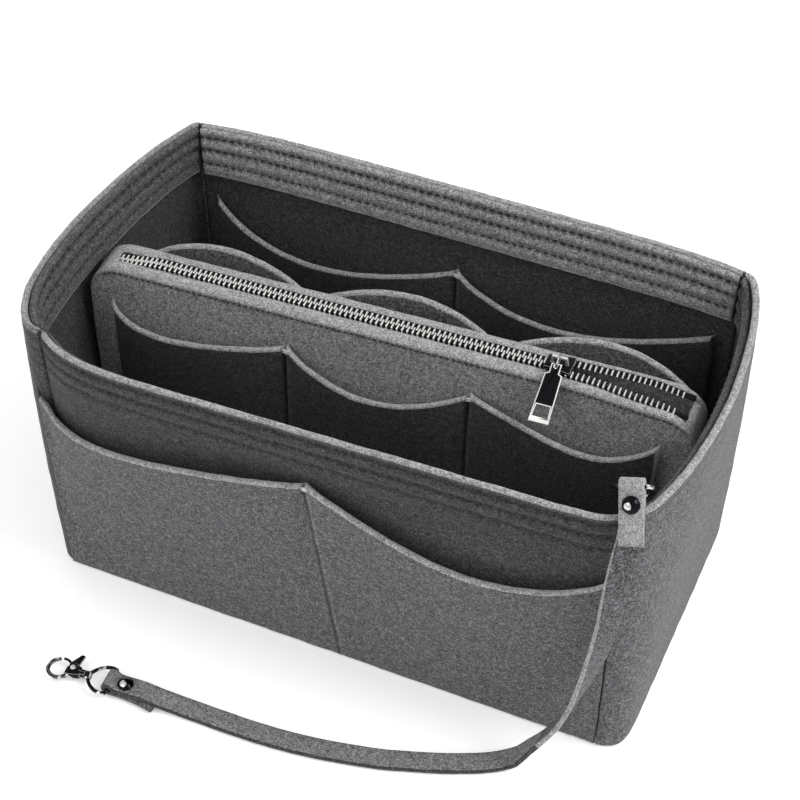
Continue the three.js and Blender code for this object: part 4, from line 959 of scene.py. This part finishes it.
# each panel is rolled thick along the zip, down to just beside the teeth
def pouchPanel(hand):
    def place(a, u, depth):
        top = pouchTopAt(a)
        z = mix(pouch["foot"], top, u)
        face = pouchPoint(hand, a, z, 0)
        roll = abs(face.y) - rowShift(hand, face.x) - teeth["half"] - teeth["lip"][hand]
        share = smooth(z, top - 5, top - 1) * (1 - smooth(face.x, chainEnd + 1, chainEnd + 6))
        share *= smooth(face.x, chainStart - 7, chainStart - 2)
        return fromPouch(pouchPoint(hand, a, z, -depth * mix(1, max(roll / felt, 1), share)))
    return place


# painted shade along the row of stitches below the pouch's top, in dashes
def pouchStitchShade(a, u, depth):
    below = (1 - u) * (pouch["top"] - pouch["foot"])
    along = a * pouch["flat"][0] / 2
    serration = 0.8 + 0.3 * math.cos(along * 2 * math.pi / pouch["serration"])
    return 0 if depth else 0.7 * serration * bell(below - pouch["stitchDrop"], 1.1)


pouchRows = spaced(0, 0.9, 30)[:-1] + spaced(0.9, 1, 22)
for hand, name, node in (
    (-1, "pouchFrontPanel", "pouch_front_panel"),
    (1, "pouchRearPanel", "pouch_rear_panel"),
):
    feltSheet(name, pouchShares(160), pouchRows, pouchPanel(hand), felt, pouch["flat"], [pouchFelt, cutFelt],
              "pouch", [node], 0.25, pouchStitchShade)
level = 1 - pouch["stitchDrop"] / (pouch["top"] - pouch["foot"])
line = [pouchPanel(-1)(a, level, 0) for a in spaced(-0.95, 0.96, 90)]
outs = [Vector((0, -0.8, 0.6))] * len(line)
stitches = stitchRow(line, outs, pouch["stitchPitch"], pouch["stitchLength"], pouch["stitchRadius"])
addStitches("pouchStitches", stitches, darkThread, "pouch")


def gusset(end):
    def place(a, u, depth):
        z = mix(pouch["foot"], pouch["top"] - pouch["gussetDrop"][end], u)
        edge = pouchPoint(-1 if a < 0 else 1, end, z, -(felt + pouch["gap"]))
        past = max(z - (pouch["top"] - pouch["corner"]), 0)
        bend = pouch["corner"] - math.sqrt(pouch["corner"] ** 2 - past ** 2)
        return fromPouch(Vector((edge.x - end * (bend + depth), abs(a) * edge.y, z)))
    return place


# the gussets take the lit band felt: painted light
for end, name, node in (
    (1, "pouchRightGusset", "pouch_right_gusset"),
    (-1, "pouchLeftGusset", "pouch_left_gusset"),
):
    feltSheet(name, spaced(-1, 1, 12), spaced(0, 1, 40), gusset(end), felt, pouch["gussetFlat"],
              [litBandFelt, cutFelt], "pouch", [node])


def onPouch(hand):
    return lambda a, z, out: fromPouch(pouchPoint(hand, a, z, out))


frontPouchPockets = pocketPlace(pouchFrontRow, pouch["foot"], onPouch(-1))
rearPouchPockets = pocketPlace(pouchRearRow, pouch["foot"], onPouch(1))
pocketPanel("pouchFrontPocketPanel", "pouch_front_pocket_panel", pouchFrontRow, frontPouchPockets, (44, 36),
            shadedFelt, "pouch", 1)
pocketPanel("pouchRearPocketPanel", "pouch_rear_pocket_panel", pouchRearRow, rearPouchPockets, (44, 36),
            outerFelt, "pouch", 1)

tack = {
    "drops": (0.9, 1.7, 2.5), "reach": (-1.5, -0.7, 0.7, 1.5), "lifts": (-0.2, 0.3, 0.3, -0.2),
    "radius": 0.36, "height": 125,
}


# a few short threads hold the top of each seam
def barTacks(row, place):
    shapes = []
    for seam in row["seams"][1:-1]:
        for drop in tack["drops"]:
            ends = [place(seam + x / row["half"], 1 - drop / tack["height"], 0) for x in tack["reach"]]
            out = (ends[-1] - ends[0]).normalized().cross(Vector((0, 0, -1)))
            if (place(seam, 0.98, 0) - place(seam, 0.98, felt)).dot(out) < 0:
                out = -out
            spine = [p + out * lift for p, lift in zip(ends, tack["lifts"])]
            shapes.append((spine, out, tack["radius"]))
    return shapes


tubTacks = barTacks(outerRow, frontPockets) + barTacks(backRow, backPockets)
addStitches("outerBarTacks", tubTacks, paleThread, "tub")
pouchTacks = barTacks(pouchFrontRow, frontPouchPockets) + barTacks(pouchRearRow, rearPouchPockets)
addStitches("pouchBarTacks", pouchTacks, paleThread, "pouch")

inner = felt + pouch["gap"]
halfWide = pouch["baseHalfWidth"] - inner - 0.9
halfLong = pouch["baseHalf"][1] - inner
floorBox = [(-halfLong, -halfWide), (halfLong, -halfWide), (halfLong, halfWide), (-halfLong, halfWide)]
floorLevels = (pouch["foot"], pouch["foot"] + felt)
points = [fromPouch(Vector((x, y, z))) for z in floorLevels for x, y in floorBox]
faces = [(3, 2, 1, 0), (4, 5, 6, 7)] + [(k, (k + 1) % 4, 4 + (k + 1) % 4, 4 + k) for k in range(4)]
pouchFloor = addMesh("pouchFloor", points, faces, [shadedFelt])
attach(pouchFloor, "pouch")
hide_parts("pouch_bottom")

print("zip")


# the rows dip with the pouch's ends
def zipZ(x):
    return pouch["top"] - teeth["dip"] * smooth(abs(x), chainEnd - 20, chainEnd + 9)


# one tooth: a bevelled block, wider at its foot than at its tip
def toothShape():
    shape = bmesh.new()
    bmesh.ops.create_cube(shape, size=1)
    for v in shape.verts:
        wide = teeth["width"] if v.co.y < 0 else teeth["tip"] * 1.15
        reach = mix(-teeth["half"], teeth["reach"], v.co.y + 0.5)
        v.co = Vector((v.co.x * wide, reach, v.co.z * teeth["height"]))
    bmesh.ops.bevel(shape, geom=shape.edges, offset=teeth["bevel"], segments=1, affect="EDGES", profile=0.5)
    points = [v.co.copy() for v in shape.verts]
    faces = [tuple(v.index for v in f.verts) for f in shape.faces]
    shape.free()
    return points, faces


def tape(hand):
    def place(a, u, depth):
        x = mix(chainStart - teeth["pitch"], chainEnd + teeth["pitch"], (a + 1) / 2)
        near = teeth["reach"] + rowShift(hand, x)
        wide = rowShift(hand, x) + teeth["half"] + teeth["tapeLip"][hand]
        return fromPouch(Vector((x, hand * mix(near, wide, u), zipZ(x) + teeth["tape"] / 2 - depth)))
    return place


toothPoints, toothFaces = toothShape()
toothCount = int((chainEnd - chainStart) / teeth["pitch"])
for hand, row, node in ((-1, "Front", "zip_tape_front"), (1, "Rear", "zip_tape_rear")):
    points, faces = [], []
    flip = Matrix.Rotation(math.pi if hand > 0 else 0, 3, "Z")
    for k in range(toothCount):
        x = chainStart + (teeth["pitch"] / 2 if hand > 0 else 0) + k * teeth["pitch"]
        middle = Vector((x, hand * rowShift(hand, x), zipZ(x)))
        tilt = Matrix.Rotation(random.uniform(-teeth["tilt"], teeth["tilt"]), 3, "Z")
        start = len(points)
        points += [fromPouch(tilt @ flip @ p + middle) for p in toothPoints]
        faces += [tuple(start + i for i in f) for f in toothFaces]
    chain = addMesh("zipTeeth" + row, points, faces, [nickel])
    chain.data.polygons.foreach_set("use_smooth", [False] * len(chain.data.polygons))
    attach(chain, "pouch")
    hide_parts(node)
    feltSheet("zipTape" + row, spaced(-1, 1, 150), spaced(0, 1, 6), tape(hand), teeth["tape"],
              teeth["tapeFlat"], [zipTape, zipTape], "pouch", [node], 0.05)

print("metal")


def only(piece):
    bpy.ops.object.select_all(action="DESELECT")
    piece.select_set(True)
    bpy.context.view_layer.objects.active = piece


def applyAll(piece):
    only(piece)
    for modifier in list(piece.modifiers):
        bpy.ops.object.modifier_apply(modifier=modifier.name)


def setHighlight(piece, highlightAt):
    values = [highlightAt(v.co / mm) for v in piece.data.vertices]
    piece.data.attributes.new("highlight", "FLOAT", "POINT").data.foreach_set("value", values)


def fitMetal(piece, body, node, smoothTo=40):
    only(piece)
    bpy.ops.object.shade_smooth_by_angle(angle=math.radians(smoothTo))
    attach(piece, body)
    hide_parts(node)


# A CAD solid copied and finished: rounded edges, whose faces take the edge material, bright metal where it
# stands for painted highlights. Beyond the cut, and round the rim of a plate, it takes the edge material
# too. shape moves each of its points.
def finishMetal(name, node, body, width, face, edge, smoothTo=40, cut=None, shape=None, plate=None):
    piece = bpy.data.objects.new(name, nodes[node].data.copy())
    scene.collection.objects.link(piece)
    piece.data.materials.clear()
    for material in (face, edge):
        piece.data.materials.append(material)
    only(piece)
    bpy.ops.object.mode_set(mode="EDIT")
    bpy.ops.mesh.select_all(action="SELECT")
    bpy.ops.mesh.remove_doubles(threshold=2e-6)
    bpy.ops.mesh.dissolve_limited(angle_limit=math.radians(0.5))
    if cut:
        bpy.ops.mesh.select_all(action="SELECT")
        bpy.ops.mesh.bisect(plane_co=cut[0] * mm, plane_no=cut[1])
    bpy.ops.object.mode_set(mode="OBJECT")
    if shape:
        for v in piece.data.vertices:
            v.co = shape(v.co / mm) * mm
    if plate:
        flat = [abs(f.normal.dot(plate[0])) > 0.99 for f in piece.data.polygons]
        piece.data.polygons.foreach_set("select", flat)
        bpy.ops.object.mode_set(mode="EDIT")
        bpy.ops.mesh.select_mode(type="FACE")
        bpy.ops.mesh.inset(thickness=plate[1] * mm, use_boundary=True)
        bpy.ops.object.mode_set(mode="OBJECT")
    for polygon in piece.data.polygons:
        beyond = bool(cut) and (polygon.center / mm - cut[0]).dot(cut[1]) > 0
        polygon.material_index = int(beyond or bool(plate) and not polygon.select)
    bevel = piece.modifiers.new("edge", "BEVEL")
    bevel.width = width * mm
    bevel.segments = 2
    bevel.limit_method = "ANGLE"
    bevel.angle_limit = math.radians(38)
    bevel.material = 1
    applyAll(piece)
    fitMetal(piece, body, node, smoothTo)
    return piece


for prefix, body, hookBody, triggerBody in (
    ("near", "tub", "tub", "near_trigger"),
    ("far", "far_loop", "far_hook", "far_trigger"),
):
    finishMetal(prefix + "ClaspLoop", prefix + "_clasp_loop", body, 0.2, highlightedNickel, highlightedNickel, 65)
    finishMetal(prefix + "ClaspHook", prefix + "_clasp_hook", hookBody, 0.3, highlightedNickel, brightHighlightMetal)
    finishMetal(prefix + "ClaspTrigger", prefix + "_clasp_trigger", triggerBody, 0.25, blackNickel, brightHighlightMetal)
    finishMetal(prefix + "ClaspPin", prefix + "_clasp_pin", hookBody, 0.15, brightHighlightMetal, brightHighlightMetal)
finishMetal("anchorRing", "anchor_ring", "tub", 0.1, highlightedNickel, highlightedNickel, 65)

slider = {
    "body": 0.25, "link": 0.1, "pull": 0.22, "rim": 0.5, "bridge": 3, "fall": math.radians(27), "length": 29,
    "footBar": 2.7, "eye": (-5.74, 156.8), "slim": (0.04, 0.14),
}
# the slider's top above this cut and its plate's rim take the bright metal: painted highlights
bridgeCut = (fromPouch(Vector((pouch["sliderX"], 0, pouch["top"] + slider["bridge"]))), Vector((0, 0, 1)))
sliderPlate = (Vector((0, 0, 1)), slider["rim"])
finishMetal("zipSlider", "zip_slider", "slider", slider["body"], blackNickel, brightHighlightMetal, 40,
            bridgeCut, None, sliderPlate)
finishMetal("zipPullLink", "zip_pull_link", "link", slider["link"], highlightedNickel, brightHighlightMetal, 65)
pullAlong = turned @ Vector((0, -math.cos(slider["fall"]), -math.sin(slider["fall"])))
pullEye = fromPouch(Vector((pouch["sliderX"], *slider["eye"])))
# the pull's foot bar beyond this cut and its plate's rim take the bright metal: polished edges, painted as
# highlights
footCut = (pullEye + pullAlong * (slider["length"] - slider["footBar"]), pullAlong)
pullAcross = turned @ Vector((1, 0, 0))


# slimmer towards the foot
def slimPull(point):
    away = point - pullEye
    slim = mix(*slider["slim"], away.dot(pullAlong) / slider["length"])
    return point - pullAcross * (away.dot(pullAcross) * slim)


pullPlate = (pullAlong.cross(pullAcross), slider["rim"])
finishMetal("zipPull", "zip_pull", "pull", slider["pull"], blackNickel, brightHighlightMetal, 30,
            footCut, slimPull, pullPlate)

# a rivet: a pressed dome with a rolled rim, the post through the felt, and a flat cap behind
rivet = {"radius": strap["rivetRadius"], "base": 3.5, "dome": 1.6, "rim": 0.5, "post": 1.5, "stack": 5.75}


def addRivet(name, node, middle, axis, highlightShift):
    r = rivet
    half = r["stack"] / 2
    ball = (r["base"] ** 2 + r["dome"] ** 2) / (2 * r["dome"])
    level = ball - r["dome"]
    bpy.ops.object.select_all(action="DESELECT")
    bpy.ops.mesh.primitive_uv_sphere_add(segments=40, ring_count=60, radius=ball * mm, location=(0, 0, 0))
    piece = bpy.context.object
    piece.name = name
    bpy.ops.object.mode_set(mode="EDIT")
    bpy.ops.mesh.select_all(action="SELECT")
    bpy.ops.mesh.bisect(plane_co=(0, 0, level * mm), plane_no=(0, 0, 1), clear_inner=True)
    bpy.ops.mesh.select_mode(type="EDGE")
    bpy.ops.mesh.select_all(action="DESELECT")
    bpy.ops.mesh.select_non_manifold(
        use_wire=False, use_multi_face=False, use_non_contiguous=False, use_verts=False)
    size = r["base"]
    for radius, drop in (
        (r["radius"] - 0.25, 0.05), (r["radius"], 0.2), (r["radius"], r["rim"]), (r["post"], 0),
        (r["post"], r["stack"]), (r["radius"], 0), (r["radius"], 0.4), (r["radius"] - 0.4, 0.1), (0.4, 0),
    ):
        bpy.ops.mesh.extrude_region_move(TRANSFORM_OT_translate={"value": (0, 0, -drop * mm)})
        bpy.ops.transform.resize(value=(radius / size, radius / size, 1))
        size = radius
    bpy.ops.mesh.edge_face_add()
    bpy.ops.mesh.select_mode(type="VERT")
    bpy.ops.mesh.select_all(action="SELECT")
    bpy.ops.mesh.normals_make_consistent(inside=False)
    bpy.ops.object.mode_set(mode="OBJECT")
    turn = Vector((0, 0, 1)).rotation_difference(axis).to_matrix().to_4x4()
    rise = Matrix.Translation((0, 0, (half + r["rim"] - level + 0.25) * mm))
    piece.data.transform(Matrix.Translation(middle * mm) @ turn @ rise)
    piece.data.materials.append(highlightedNickel)
    # a painted highlight: a bright patch on the dome, moved off its crown by the last argument; elsewhere
    # fewer bright patches
    spot = middle + axis * (half + 2) + highlightShift
    setHighlight(piece, lambda p: 0.62 * math.exp(-(((p - spot).length / 1.9) ** 4)) - 0.25)
    fitMetal(piece, "tub", node, 40)


nearDown = strap["nearAlong"]
nearLeft = -strap["nearAcross"].normalized()
# each rivet's last argument moves its painted highlight
addRivet("nearRivet", "near_rivet", *strap["nearRivet"], nearLeft * 1.2 + nearDown * 0.4)
addRivet("farRivet", "far_rivet", *strap["farRivet"], Vector((-0.5, -1.1, 0)))

# the tab that ties the ring to the front band, folded round the ring
tab = {
    "width": 5, "thickness": 1.6, "across": Vector((0.88, -0.39, -0.27)),
    "route": (
        (139.9, -76.9, 138.5), (139.9, -76.9, 142), (139.9, -76.9, 145), (142, -69.4, 146.6),
        (144.09, -62, 146.23), (144.48, -60.76, 145.71), (144.55, -59.87, 144.63), (144.27, -59.56, 143.3),
        (143.73, -59.92, 142.06), (143.06, -60.84, 141.25), (142.45, -62.09, 141.09), (141.2, -68.5, 142.3),
        (139.9, -75, 143.1), (139.9, -75, 140.8), (139.9, -75, 138.5),
    ),
}
stations = []
for k, point in enumerate(tab["route"]):
    share = smooth(min(k, len(tab["route"]) - 1 - k), 1.5, 4)
    stations.append((Vector(point), Vector((1, 0, 0)).lerp(tab["across"], share).normalized()))
points, faces, slots = stripShape(stations, tab["width"], tab["thickness"], 0.5, 0.08)
slots = [1 if slot in (1, 3) else 0 for _, slot in slots] + [1, 1]
anchorTab = addMesh("anchorTab", points, faces, [shadedFelt, cutFelt], slots)
fixNormals(anchorTab)
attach(anchorTab, "tub")
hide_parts("anchor_tab")

print("studio")
bpy.ops.mesh.primitive_plane_add(size=12, location=(0, 0, -0.0005))
floor = bpy.context.object
floor.name = "floor"
floorMaterial, tree, shader = newMaterial("white studio floor")
feed(tree, shader, {
    "Base Color": (0.93, 0.93, 0.93, 1), "Roughness": 0.7, "Specular IOR Level": 0.2,
    "Emission Color": (1, 1, 1, 1), "Emission Strength": 0.25,
})
floor.data.materials.append(floorMaterial)
floor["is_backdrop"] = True

world = bpy.data.worlds.new("studio")
scene.world = world
world.use_nodes = True
tree = world.node_tree
tree.nodes.clear()
rays = addNode(tree, "LightPath")
direct = {0: rays.outputs["Is Camera Ray"], 1: rays.outputs["Is Transmission Ray"]}
seen = addNode(tree, "Math", direct, operation="MAXIMUM")
white = addNode(tree, "Background", {"Color": (1, 1, 1, 1), "Strength": 1})
soft = addNode(tree, "Background", {"Color": (1, 1, 1, 1), "Strength": 0.8})
both = addNode(tree, "MixShader", {0: seen.outputs[0], 1: soft.outputs[0], 2: white.outputs[0]})
addNode(tree, "OutputWorld", {"Surface": both.outputs[0]})

# places and sizes in metres, power in watts
lamps = {"key": ((1.1, 0.1, 1.3), 0.9, 18), "fill": ((-0.8, -0.9, 1.2), 1.2, 5)}
for name, (place, size, power) in lamps.items():
    light = bpy.data.lights.new(name, "AREA")
    light.size = size
    light.energy = power
    lamp = bpy.data.objects.new(name, light)
    scene.collection.objects.link(lamp)
    lamp.location = place
    lamp.rotation_euler = (Vector((0, 0, 0.08)) - lamp.location).to_track_quat("-Z", "Y").to_euler()

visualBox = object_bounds()
[[list(map(float, corner)) for corner in box] for box in (cadBox, visualBox)]
